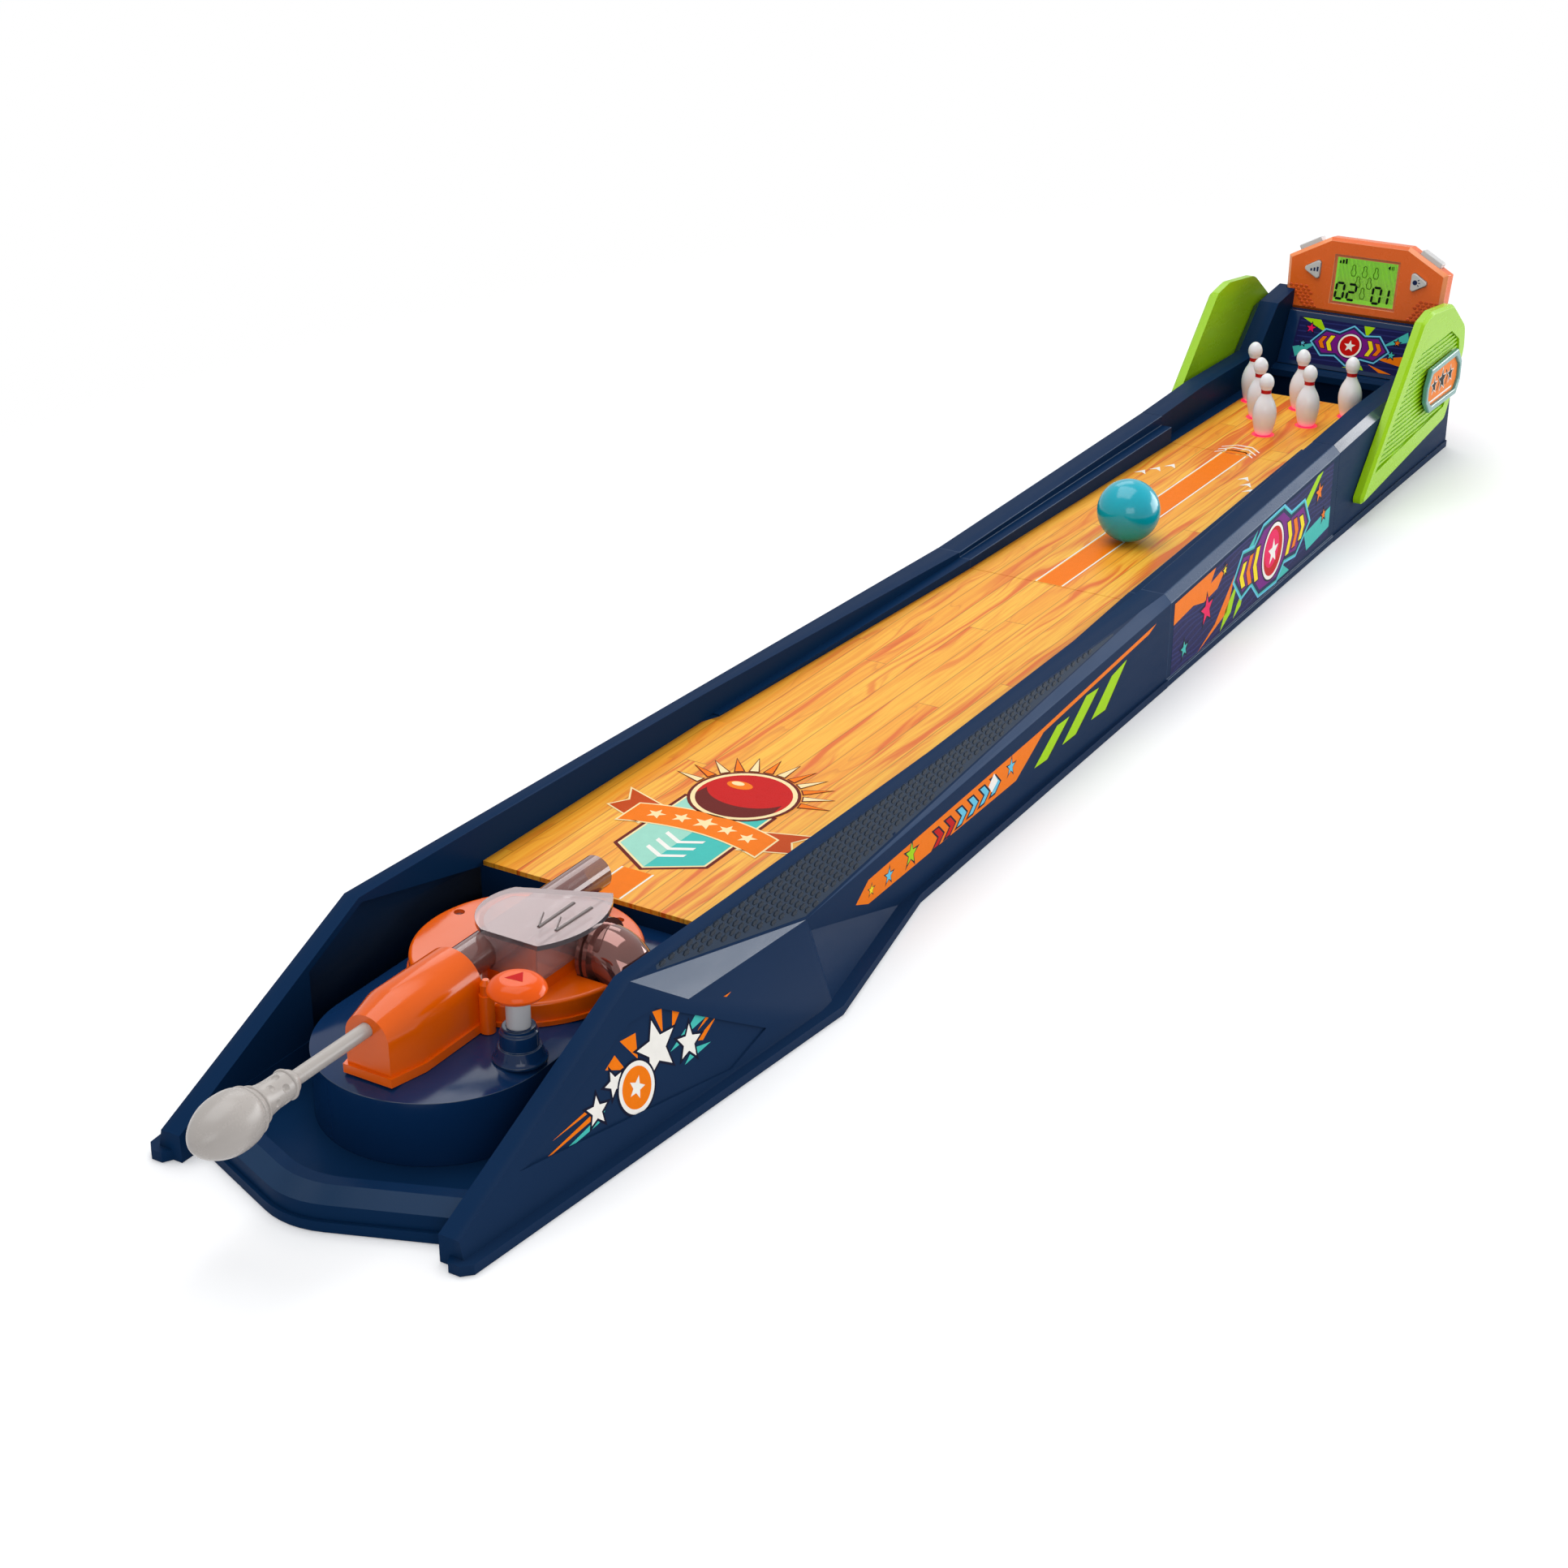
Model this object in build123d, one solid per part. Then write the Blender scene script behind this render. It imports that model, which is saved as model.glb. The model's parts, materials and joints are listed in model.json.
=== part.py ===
from build123d import *
import math
import os

# Tabletop bowling game: three moulded sections clipped end to end, with a swivelling plunger
# launcher at the front and six pins, a pit and a tilted score display at the rear.
# While modelling, x is across, y runs from the launcher to the pins with y = 0 at the first
# joint, and z is up from the table. Before export everything is centred along y.

# Overall lengths
front_len = 582.0
middle_len = 240.0
pin_len = 200.0

# Clearances and shared wall sizes
gap = 0.3
run_gap = 0.08
skin_t = 2.2
over = 5.0
chamfer_w = 4.0
same_point = 0.0001

# Places along the front section, as distances behind its front end
foot_in = 12.0
nose_side_in = 22.5
corner_in = 116.0
pivot_in = 142.0
lane_in = 191.5
kink_in = 222.0
tip_in = 230.0
bulge_tip_in = 234.0
bulge_end_in = 319.0
notch_in = 350.5
fold_end_in = 554.0

# Places along the pin section, as shares of its length
fin_tip_share = 0.12
head_pin_share = 0.2125
shelf_share = 0.30
lane_end_share = 0.60
cheek_share = 0.705
plaque_share = 0.765
cheek_top_share = 0.845
pit_rear_share = 0.86
panel_top_share = 0.94
fin_len_share = 0.90
pin_row_share = 0.1435

# Half widths of the outer walls at the table and at the wall tops
foot_half = 64.5
corner_half = 64.5
tip_half = 68.8
joint_1_half = 66.5
joint_2_half = 62.0
rear_half = 60.0

# Heights of the wall tops
foot_top_z = 11.0
corner_z = 58.5
tip_z = 32.0
joint_1_z = 48.5
joint_2_z = 56.3
shelf_z = 59.0
cheek_z = 58.6
cheek_top_z = 83.0
rear_z = 87.0

# Widths of the walls at their tops, and of the ledges between them and the lane
foot_wall_w = 7.5
bay_wall_w = 6.2
notch_wall_w = 6.5
joint_1_wall_w = 16.5
joint_2_wall_w = 16.5
rear_wall_w = 16.0
joint_1_ledge_w = 6.4
joint_2_ledge_w = 6.5
lane_end_ledge_w = 7.1

# Lane panels
lane_z = 41.2
lane_t = 2.0
lane_gap = 0.2
lane_side_gap = 0.4
lane_step = 3.6
notch_len = 9.0
notch_steps = 6

# Bumper rails along the lane
rail_start_h = 0.8
rail_joint_1_h = 4.6
rail_end_h = 9.5

# Faceted bulge on each launcher wall
bulge_foot_w = 3.5
bulge_kink_w = 18.2
bulge_tip_z = 25.5
bulge_fold_in = 143.0
bulge_fold_z = 40.0
bulge_root_w = 4.5
bulge_wall_t = 2.6
recess_depth = 0.8
recess_corners = ((125.7, 44.2), (181.0, 11.7), (157.7, 5.7), (35.0, 21.3), (111.7, 44.9))

# Lip around the foot of the base
lip_w = 3.5
lip_h = 4.0
lip_small_w = 0.9
lip_toe_w = 5.2

# Nose and floor of the launcher bay
bay_floor_z = 5.5
nose_overlap = 1.0
nose_round_w = 13.0
nose_round_steps = 6
nose_step = 1.6
nose_face_z = 10.0
nose_rim_z = 14.0
nose_rim_w = 14.0
nose_slope_w = 7.0

# Ribs and tongues under the sections
rib_t = 2.0
rib_pitch = 60.0
tongue_w = 20.0
tongue_len = 12.0
tongue_t = 3.0
tongue_drop = 8.0
tongue_share = 0.55

# Platform that carries the launcher
platform_reach = 55.0
platform_r = 45.6
platform_z = 33.0
platform_bevel_w = 8.6
platform_bevel_h = 1.8
platform_t = 2.5

# Launcher turret
axis_z = 53.0
pivot_r = 4.0
pivot_low_z = 18.0
pivot_top_z = 40.0
disc_r = 44.0
disc_top_z = 42.5
disc_skirt_w = 1.0
disc_skirt_h = 1.8
disc_edge_r = 1.5
disc_wall_t = 2.5
plate_t = 2.0
snout_front_reach = 93.0
snout_shoulder_reach = 79.0
snout_rear_reach = 44.0
snout_half = 13.0
snout_front_half = 9.5
snout_arch_z = 49.0
snout_foot_w = 1.2
snout_foot_h = 3.5
lug_x = 15.6
lug_reach = 45.5
lug_r = 2.9
lug_mid_z = 48.5
lug_neck_r = 2.3
lug_top_z = 52.6
lug_tip_z = 54.4
screw_hole_r = 2.2
screw_hole_depth = 3.0
screw_head_t = 1.5
screw_ring_r = 38.5
screw_angles = (168.0, 118.0, 62.0, -52.0)

# Barrel, cover and elbow
barrel_r = 7.0
barrel_bore_r = 6.0
muzzle_gap = 3.5
barrel_seat = 3.0
chamber_pad_z = 47.0
cover_plate_z = 61.5
cover_plate_t = 2.0
cover_wall_t = 1.6
cover_inset = 1.4
cover_left_x = 10.6
cover_left_rear_x = 6.9
cover_left_front_x = -2.3
cover_right_x = 27.0
cover_bulge_w = 8.4
cover_front_reach = 29.5
cover_left_reach = 10.0
cover_left_rear_reach = -3.7
cover_rear_reach = -18.3
port_reach = -3.0
elbow_z = 48.0
elbow_ring_x = 29.0
elbow_ring_r = 13.0
elbow_ring_t = 1.7
elbow_ring_gap = 1.3
elbow_r = 11.0
elbow_wall_t = 1.5
elbow_bend_r = 11.1
elbow_leg = 3.2
spigot_r = 7.4

# Plunger, drawn back as when it is pulled
rod_r = 2.75
handle_neck_reach = 132.0
handle_len = 48.0
handle_r = 10.6
handle_shares = ((0.0, 0.40), (0.03, 0.46), (0.09, 0.50), (0.20, 0.51), (0.34, 0.59), (0.41, 0.69),
                 (0.49, 0.89), (0.60, 0.99), (0.72, 0.97), (0.85, 0.78), (0.95, 0.47), (1.0, 0.16))
bead_r = 0.7
bead_shares = ((0.06, 0.48), (0.38, 0.63), (0.455, 0.79))
dimple_r = 1.9
dimple_count = 6
dimple_shares = (0.16, 0.27)
dimple_depth = 0.9
rod_in_handle = 20.0
striker_len = 8.0
striker_reach = 46.0
striker_r = 5.6
spring_r = 5.0
spring_wire = 0.9
spring_seat_reach = 85.5

# Push knob on its post
knob_x = 36.0
knob_reach = 54.0
knob_travel = 8.0
knob_r = 10.9
knob_under_z = 58.0
knob_top_z = 65.0
knob_edge_z = 60.8
knob_under_share = 0.88
knob_shoulder_share = 0.8
knob_flat_share = 0.45
knob_shaft_r = 4.45
knob_spring_solid = 10.0
knob_tenon_r = 2.6
knob_tenon_h = 3.5
post_r = 10.0
post_neck_r = 6.2
post_collar_r = 7.9
post_step = 0.8
post_step_z = 38.6
post_waist_z = 44.2
post_top_z = 46.5
post_bore_floor_z = 20.0
post_well_t = 1.6
post_foot_h = 0.9
post_lean = 0.8
knob_shaft_low_z = post_bore_floor_z + knob_travel + knob_spring_solid
knob_spring_r = 3.6
knob_spring_wire = 0.8

# Pins and ball
pin_h = 36.0
pin_r = 6.9
pin_head_r = 4.2
pin_crown_h = 5.2
pin_profile_shares = ((0.0, 0.60), (0.12, 0.85), (0.35, 1.0), (0.55, 0.72), (0.69, 0.42), (0.78, 0.52))
pin_spacing = 30.5
pin_rows = 3
spot_r = 6.4
spot_t = 0.8
ball_r = 16.4
ball_x = 7.5
ball_y = 77.7

# Pit and back panel at the rear
pit_floor_z = 12.0
panel_t = 2.0
panel_low_z = 45.0
panel_top_z = 75.0
beam_depth = 7.0
beam_h = 6.0
beam_round = 2.0
rear_wall_z = 75.0
rear_wall_t = 2.5
sensor_half = 33.0
sensor_lead = 14.0
sensor_t = 1.6

# Score display, drawn upright and then tilted back about its lower front edge
score_back = 6.5
score_z = 74.3
score_tilt = 8.0
score_depth = 14.0
score_half = 51.0
score_h = 46.5
score_outline_shares = ((0.93, 0.0), (0.98, 0.20), (1.0, 0.70), (0.49, 1.0))
score_wall_t = 2.0
score_split_share = 0.5
score_edge = 2.2
lcd_w = 38.6
lcd_h = 27.0
lcd_low = 8.0
lcd_t = 1.2
lcd_module_t = 4.0
bezel_w = 1.6
board_t = 1.6
board_margin = 10.0
board_half = 30.0
face_button_x = 33.0
face_button_h = 26.0
face_button_r = 7.6
face_button_round = 1.6
face_button_lip = 0.6
button_t = 4.0
button_travel = 1.0
top_button_len = 15.0
top_button_w = 8.0
top_button_lip = 1.9
door_w = 34.0
door_h = 16.0
door_t = 1.6
door_low = 14.0
cell_r = 5.8
cell_t = 3.0
cell_count = 2
cell_pitch = 14.0
speaker_r = 9.0
speaker_t = 3.0
speaker_x = -24.0
score_screw_r = 1.6
score_screw_x = 30.0
score_screw_h = 8.0
score_screw_len = 7.0

# Side fins with a ribbed recess and a framed plaque
fin_t = 6.0
fin_tip_z = 13.0
fin_h = 90.0
fin_outline_shares = ((0.0, 0.0), (0.487, 0.965), (0.58, 1.0), (0.80, 0.95), (0.955, 0.74),
                      (0.97, 0.56), (0.82, 0.14))
fin_corner_rs = (3.0, 6.0, 14.0, 20.0, 12.0, 14.0, 8.0)
fin_recess_shares = ((0.125, 0.165), (0.455, 0.74), (0.50, 0.765), (0.80, 0.765), (0.89, 0.67),
                     (0.905, 0.57), (0.79, 0.25))
fin_recess_depth = 2.0
fin_edge = 1.7
fin_rib_w = 1.3
fin_rib_pitch = 2.7
fin_rib_h = 1.1
plaque_z = 55.0
plaque_half_w = 32.5
plaque_half_h = 14.5
plaque_outline_shares = ((-1.0, 0.25), (-0.80, 0.95), (0.72, 1.0), (1.0, 0.35), (1.0, -0.45),
                         (0.80, -1.0), (-0.74, -0.92), (-1.0, -0.35))
plaque_frame_w = 4.0
plaque_frame_t = 3.0
plaque_insert_t = 1.4
fin_peg_r = 1.7
fin_peg_len = 5.0
fin_peg_shares = ((0.30, 0.16), (0.62, 0.42), (0.80, 0.30))

# Places that follow from the sizes above: in front of the first joint, then behind it
foot_y = front_len - foot_in
corner_y = front_len - corner_in
lane_y = front_len - lane_in
kink_y = front_len - kink_in
tip_y = front_len - tip_in
bulge_tip_y = front_len - bulge_tip_in
bulge_end_y = front_len - bulge_end_in
bulge_fold_y = front_len - bulge_fold_in
notch_y = front_len - notch_in
fold_end_y = front_len - fold_end_in
nose_side_y = front_len - nose_side_in
pivot_y = front_len - pivot_in
platform_y = pivot_y + platform_reach
snout_front_y = pivot_y + snout_front_reach
snout_shoulder_y = pivot_y + snout_shoulder_reach
snout_rear_y = pivot_y + snout_rear_reach
lug_y = pivot_y + lug_reach
muzzle_y = lane_y + muzzle_gap
port_y = pivot_y + port_reach
handle_neck_y = pivot_y + handle_neck_reach
handle_end_y = handle_neck_y + handle_len
striker_y = pivot_y + striker_reach
spring_seat_y = pivot_y + spring_seat_reach
knob_y = pivot_y + knob_reach
shelf_y = middle_len + shelf_share * pin_len
head_pin_y = middle_len + head_pin_share * pin_len
pin_row_pitch = pin_row_share * pin_len
lane_end_y = middle_len + lane_end_share * pin_len
cheek_y = middle_len + cheek_share * pin_len
cheek_top_y = middle_len + cheek_top_share * pin_len
pit_rear_y = middle_len + pit_rear_share * pin_len
panel_top_y = middle_len + panel_top_share * pin_len
fin_tip_y = middle_len + fin_tip_share * pin_len
fin_len = fin_len_share * pin_len
plaque_y = middle_len + plaque_share * pin_len
rear_y = middle_len + pin_len
score_y = rear_y - score_back


def launcher_top_half(y):
    """Half width of the launcher walls' outer top edge, at y in front of the first joint."""
    share = 1 - y / corner_y
    return corner_half + (joint_1_half - chamfer_w - corner_half) * share


bay_front_half = foot_half - foot_wall_w
bay_half = launcher_top_half(lane_y) - bay_wall_w
notch_wall_half = launcher_top_half(notch_y) - notch_wall_w
joint_1_inner_half = joint_1_half - joint_1_wall_w
joint_2_inner_half = joint_2_half - joint_2_wall_w
rear_inner_half = rear_half - rear_wall_w
lane_front_half = bay_half - lane_side_gap
lane_notch_half = notch_wall_half - lane_side_gap
lane_joint_1_half = joint_1_inner_half - joint_1_ledge_w
lane_joint_2_half = joint_2_inner_half - joint_2_ledge_w
lane_end_half = (joint_2_inner_half + (rear_inner_half - joint_2_inner_half) * lane_end_share
                 - lane_end_ledge_w)
nose_side_half = bay_front_half + nose_overlap
bulge_inner_half = foot_half - bulge_root_w

total_front = handle_end_y
score_top_rear = (score_y + score_depth * math.cos(math.radians(score_tilt))
                  + (score_h - score_edge) * math.sin(math.radians(score_tilt)))
mid_y = (score_top_rear - total_front) / 2
deck_z = lane_z - lane_t
deck_under_z = deck_z - skin_t

parts = {}


# General helpers
def along(table, y):
    """Straight-line value at y from a table of (y, value) or (y, value, value)."""
    if y <= table[0][0]:
        return table[0][1:]
    for low, high in zip(table, table[1:]):
        if y <= high[0]:
            share = (y - low[0]) / (high[0] - low[0])
            return tuple(a + share * (b - a) for a, b in zip(low[1:], high[1:]))
    return table[-1][1:]


def is_flat(points):
    """True where the corners of a loop lie in one plane."""
    a, b, c = (Vector(*p) for p in points[:3])
    normal = (b - a).cross(c - a)
    if normal.length == 0:
        return False
    normal = normal.normalized()
    return all(abs((Vector(*p) - a).dot(normal)) < same_point for p in points[3:])


def loop_faces(points):
    """Flat face on a loop, or triangles where the loop is bent; repeated corners are dropped."""
    kept = []
    for p in points:
        if not kept or (Vector(*p) - Vector(*kept[-1])).length > same_point:
            kept.append(p)
    if len(kept) > 1 and (Vector(*kept[0]) - Vector(*kept[-1])).length <= same_point:
        kept.pop()
    if len(kept) < 3:
        return []
    if len(kept) == 3 or is_flat(kept):
        return [Face(Wire.make_polygon([Vector(*p) for p in kept], close=True))]
    return [face for k in range(1, len(kept) - 1)
            for face in loop_faces([kept[0], kept[k], kept[k + 1]])]


def flat_solid(loops):
    """Closed solid from loops of corners."""
    faces = [face for loop in loops for face in loop_faces(loop)]
    return Solid(Shell(faces))


def ring_solid(rings):
    """Closed solid through rings of corners, one after the other."""
    loops = [rings[0], rings[-1]]
    for near, far in zip(rings, rings[1:]):
        for k in range(len(near)):
            j = (k + 1) % len(near)
            loops.append([near[k], near[j], far[j], far[k]])
    return flat_solid(loops)


def flip(shape):
    """The same shape on the other side of the centre line."""
    return mirror(shape, about=Plane.YZ)


def outline(points):
    """Flat face in the local plane of a sketch."""
    return make_face(Polyline(*points, close=True))


def prism_z(points, low, high):
    return Pos(0, 0, low) * extrude(outline(points), high - low)


def prism_x(points, low, high):
    """Prism on a (y, z) outline from x = low to x = high."""
    return extrude(Plane((low, 0, 0), x_dir=(0, 1, 0), z_dir=(1, 0, 0)) * outline(points), high - low)


def prism_y(points, low, high):
    """Prism on an (x, z) outline from y = low to y = high."""
    return extrude(Plane((0, high, 0), x_dir=(1, 0, 0), z_dir=(0, -1, 0)) * outline(points), high - low)


def block(x, y, z):
    """Box between two values on each axis."""
    size = Box(x[1] - x[0], y[1] - y[0], z[1] - z[0], align=(Align.MIN, Align.MIN, Align.MIN))
    return Pos(x[0], y[0], z[0]) * size


def round_z(x, y, radius, low, high):
    return Pos(x, y, low) * Cylinder(radius, high - low, align=(Align.CENTER, Align.CENTER, Align.MIN))


def round_y(x, z, radius, low, high):
    rod = Cylinder(radius, high - low, align=(Align.CENTER, Align.CENTER, Align.MIN))
    return Pos(x, low, z) * (Rot(-90, 0, 0) * rod)


def round_x(y, z, radius, low, high):
    rod = Cylinder(radius, high - low, align=(Align.CENTER, Align.CENTER, Align.MIN))
    return Pos(low, y, z) * (Rot(0, 90, 0) * rod)


def both_sides(points):
    """Closed plan outline from its points on one side, front to back."""
    return points + [(-x, y) for x, y in reversed(points)]


# Lines that the side walls follow along the whole length
foot_line = [(-foot_y, foot_half), (-corner_y, foot_half), (-tip_y, tip_half), (0, joint_1_half),
             (middle_len, joint_2_half), (rear_y, rear_half)]
low_line = [(-corner_y, corner_half, corner_z), (-tip_y, tip_half, tip_z),
            (0, joint_1_half, joint_1_z - chamfer_w), (middle_len, joint_2_half, joint_2_z - chamfer_w),
            (shelf_y, along(foot_line, shelf_y)[0], shelf_z - chamfer_w),
            (cheek_y, along(foot_line, cheek_y)[0], cheek_z - chamfer_w),
            (cheek_top_y, along(foot_line, cheek_top_y)[0], cheek_top_z - chamfer_w),
            (rear_y, rear_half, rear_z - chamfer_w)]
top_line = [(-corner_y, corner_half, corner_z), (0, joint_1_half - chamfer_w, joint_1_z)]
top_line += [(y, x - chamfer_w, z + chamfer_w) for y, x, z in low_line[3:]]
fold_line = low_line[:2] + [(-fold_end_y,) + along(top_line, -fold_end_y)] + top_line[1:]
inner_line = [(-foot_y, bay_front_half), (-lane_y, bay_half), (-notch_y, notch_wall_half),
              (0, joint_1_inner_half), (middle_len, joint_2_inner_half), (rear_y, rear_inner_half)]
lane_line = [(-notch_y + notch_len, lane_notch_half - lane_step), (0, lane_joint_1_half),
             (middle_len, lane_joint_2_half), (lane_end_y, lane_end_half)]
rail_line = [(-notch_y + notch_len, rail_start_h), (0, rail_joint_1_h), (middle_len, rail_end_h)]
breaks = sorted({row[0] for line in (foot_line, low_line, top_line, fold_line, inner_line) for row in line})


def stations(start, end):
    """Places where any wall line bends, between two ends."""
    return [start] + [y for y in breaks if start < y < end] + [end]


def wall_ring(y, inset, base_z):
    """Corners of one side wall at y, drawn in by inset."""
    foot = along(foot_line, y)[0] - inset
    low_x, low_z = along(low_line, y)
    fold_x, fold_z = along(fold_line, y)
    top_x, top_z = along(top_line, y)
    inner = along(inner_line, y)[0] + inset
    return [(inner, y, base_z), (foot, y, base_z), (low_x - inset, y, low_z - inset),
            (fold_x - inset, y, fold_z - inset), (top_x - inset, y, top_z - inset),
            (inner, y, top_z - inset)]


def side_wall(start, end, inset=0.0, base_z=0.0):
    return ring_solid([wall_ring(y, inset, base_z) for y in stations(start, end)])


def deck(start, end):
    """Raised floor between the walls, up to the level of the lane."""
    rings = []
    for y in stations(start, end):
        half = along(inner_line, y)[0] + skin_t / 2
        rings.append([(-half, y, 0), (half, y, 0), (half, y, lane_z), (-half, y, lane_z)])
    return ring_solid(rings)


def deck_hollow(start, end):
    """Space under the deck, open below."""
    rings = []
    for y in stations(start, end):
        half = along(inner_line, y)[0] + 2 * skin_t
        rings.append([(-half, y, -over), (half, y, -over), (half, y, deck_under_z),
                      (-half, y, deck_under_z)])
    return ring_solid(rings)


def wall_hollow(start, end):
    near = side_wall(start, end, skin_t, -over)
    return near + flip(near)


def lane_half_points(start, end):
    """Lane edge on one side from start to end, with the curved step at the notch."""
    points = []
    if start < -notch_y:
        points += [(lane_front_half, start), (lane_notch_half, -notch_y)]
        for k in range(1, notch_steps + 1):
            share = (1 - math.cos(math.pi * k / notch_steps)) / 2
            points.append((lane_notch_half - lane_step * share, -notch_y + notch_len * share))
    else:
        points.append((along(lane_line, start)[0], start))
    points.append((along(lane_line, end)[0], end))
    return points


def lane_slab(start, end, grow, low, high):
    points = [(x + grow, y) for x, y in lane_half_points(start, end)]
    return prism_z(both_sides(points), low, high)


def rail(start, end):
    """Bumper rail on one ledge, from the lane edge to the wall."""
    rings = []
    for y in (start, end):
        edge = along(lane_line, y)[0] + lane_gap
        wall = along(inner_line, y)[0] + skin_t / 2
        top = lane_z + along(rail_line, y)[0]
        low = lane_z - lane_t / 2
        rings.append([(edge, y, low), (wall, y, low), (wall, y, top), (edge, y, top)])
    near = ring_solid(rings)
    return near + flip(near)


def ribs(start, end):
    """Cross ribs under a deck."""
    count = int((end - start) // rib_pitch)
    step = (end - start) / (count + 1)
    group = []
    for k in range(1, count + 1):
        y = start + k * step
        half = along(foot_line, y)[0] - skin_t / 2
        group.append(block((-half, half), (y - rib_t / 2, y + rib_t / 2), (0, deck_under_z + skin_t / 2)))
    return group


def tongues(joint_y, grow):
    """Pair of hooks that join a section to the next one."""
    x = joint_1_inner_half * tongue_share
    low = deck_under_z - tongue_drop
    reach = (joint_y - skin_t - over * grow, joint_y + tongue_len)
    width = tongue_w / 2 + gap * grow
    height = (low - gap * grow, low + tongue_t + gap * grow)
    return [block((side * x - width, side * x + width), reach, height) for side in (-1, 1)]


def side_lip(start, end):
    """Narrow lip along the foot of one wall."""
    near_half = along(foot_line, start)[0]
    far_half = along(foot_line, end)[0]
    return prism_z([(near_half - skin_t / 2, start), (near_half + lip_small_w, start),
                    (far_half + lip_small_w, end), (far_half - skin_t / 2, end)], 0, lip_h)


def trough(start, end):
    """Walls, deck, hollow underside and ribs of one section."""
    near = side_wall(start, end) + side_lip(start, end)
    body = near + flip(near) + deck(start, end)
    hollow = wall_hollow(start + skin_t, end - skin_t) + deck_hollow(start + skin_t, end - skin_t)
    channel_rings = []
    for y in stations(start, end):
        half = along(inner_line, y)[0] + skin_t
        channel_rings.append([(-half, y, deck_under_z), (half, y, deck_under_z),
                              (half, y, rear_z + over), (-half, y, rear_z + over)])
    keep = ring_solid(channel_rings)
    return body - (hollow - keep)


# Outline of the score display, which the rear of the base carries
def to_score(shape):
    """Move a shape drawn at the display's lower front edge to its tilted place."""
    return Pos(0, score_y, score_z) * (Rot(-score_tilt, 0, 0) * shape)


def score_plan(shrink):
    points = []
    for x, z in score_outline_shares:
        height = z * score_h
        height = min(max(height, shrink), score_h - shrink)
        points.append((x * score_half - shrink, height))
    return points + [(-x, z) for x, z in reversed(points)]


def sensor_block(grow):
    """Board under the pins, against the underside of the deck."""
    start = head_pin_y - sensor_lead
    end = head_pin_y + (pin_rows - 1) * pin_row_pitch + sensor_lead
    return block((-sensor_half - grow, sensor_half + grow), (start - grow, end + grow),
                 (deck_under_z - sensor_t - grow, deck_under_z))


# Side fins follow the taper of the walls that carry them
fin_inner_x = joint_2_half + gap
fin_outer_x = fin_inner_x + fin_t
fin_turn = math.degrees(math.atan2(joint_2_half - rear_half, pin_len))


def on_side(shape):
    """Turn a shape drawn along the lane so that it lies on the tapering wall."""
    turned_shape = Rot(0, 0, fin_turn) * (Pos(-joint_2_half, -middle_len, 0) * shape)
    return Pos(joint_2_half, middle_len, 0) * turned_shape


def fin_pegs(grow):
    """Pegs that hold a fin in the wall."""
    pegs = [round_x(fin_tip_y + fin_len * y, fin_tip_z + fin_h * z, fin_peg_r + grow,
                    fin_inner_x - fin_peg_len, fin_inner_x + fin_t / 2) for y, z in fin_peg_shares]
    return pegs[0] + pegs[1:]


# Bulge on the launcher walls
bulge_foot = (foot_half + bulge_foot_w, -foot_y, 0)
bulge_kink = (tip_half + bulge_kink_w, -kink_y, 0)
bulge_tip = (tip_half, -bulge_tip_y, bulge_tip_z)
bulge_end = (along(foot_line, -bulge_end_y)[0], -bulge_end_y, 0)


def panel_x(y, z):
    """Depth of the front panel plane at a place on it."""
    a = Vector(*bulge_foot)
    b = Vector(corner_half, -corner_y, corner_z)
    c = Vector(*bulge_kink)
    normal = (b - a).cross(c - a)
    return a.X - (normal.Y * (y - a.Y) + normal.Z * (z - a.Z)) / normal.X


def bulge():
    foot = bulge_foot
    toe = (panel_x(-foot_y, foot_top_z), -foot_y, foot_top_z)
    corner = (corner_half, -corner_y, corner_z)
    fold = (panel_x(-bulge_fold_y, bulge_fold_z), -bulge_fold_y, bulge_fold_z)
    facet = (tip_half, -tip_y, tip_z)
    tip = bulge_tip
    kink = bulge_kink
    end = bulge_end

    def inside(p):
        return (bulge_inner_half, p[1], p[2])

    back = [foot, toe, corner, facet, tip, end]
    loops = [[foot, toe, corner, fold, kink], [corner, facet, fold], [fold, facet, kink], [facet, tip, kink],
             [kink, tip, end], [foot, kink, end, inside(end), inside(foot)], [inside(p) for p in back]]
    loops += [[p, q, inside(q), inside(p)] for p, q in zip(back, back[1:])]
    return flat_solid(loops)


def slope_cutter():
    """Everything above the sloping front edge of the launcher walls."""
    far = 2 * joint_1_half
    points = [(-foot_y - over, foot_top_z), (-foot_y, foot_top_z), (-corner_y, corner_z),
              (-corner_y, corner_z + over), (-foot_y - over, corner_z + over)]
    return prism_x(points, -far, far)


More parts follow.
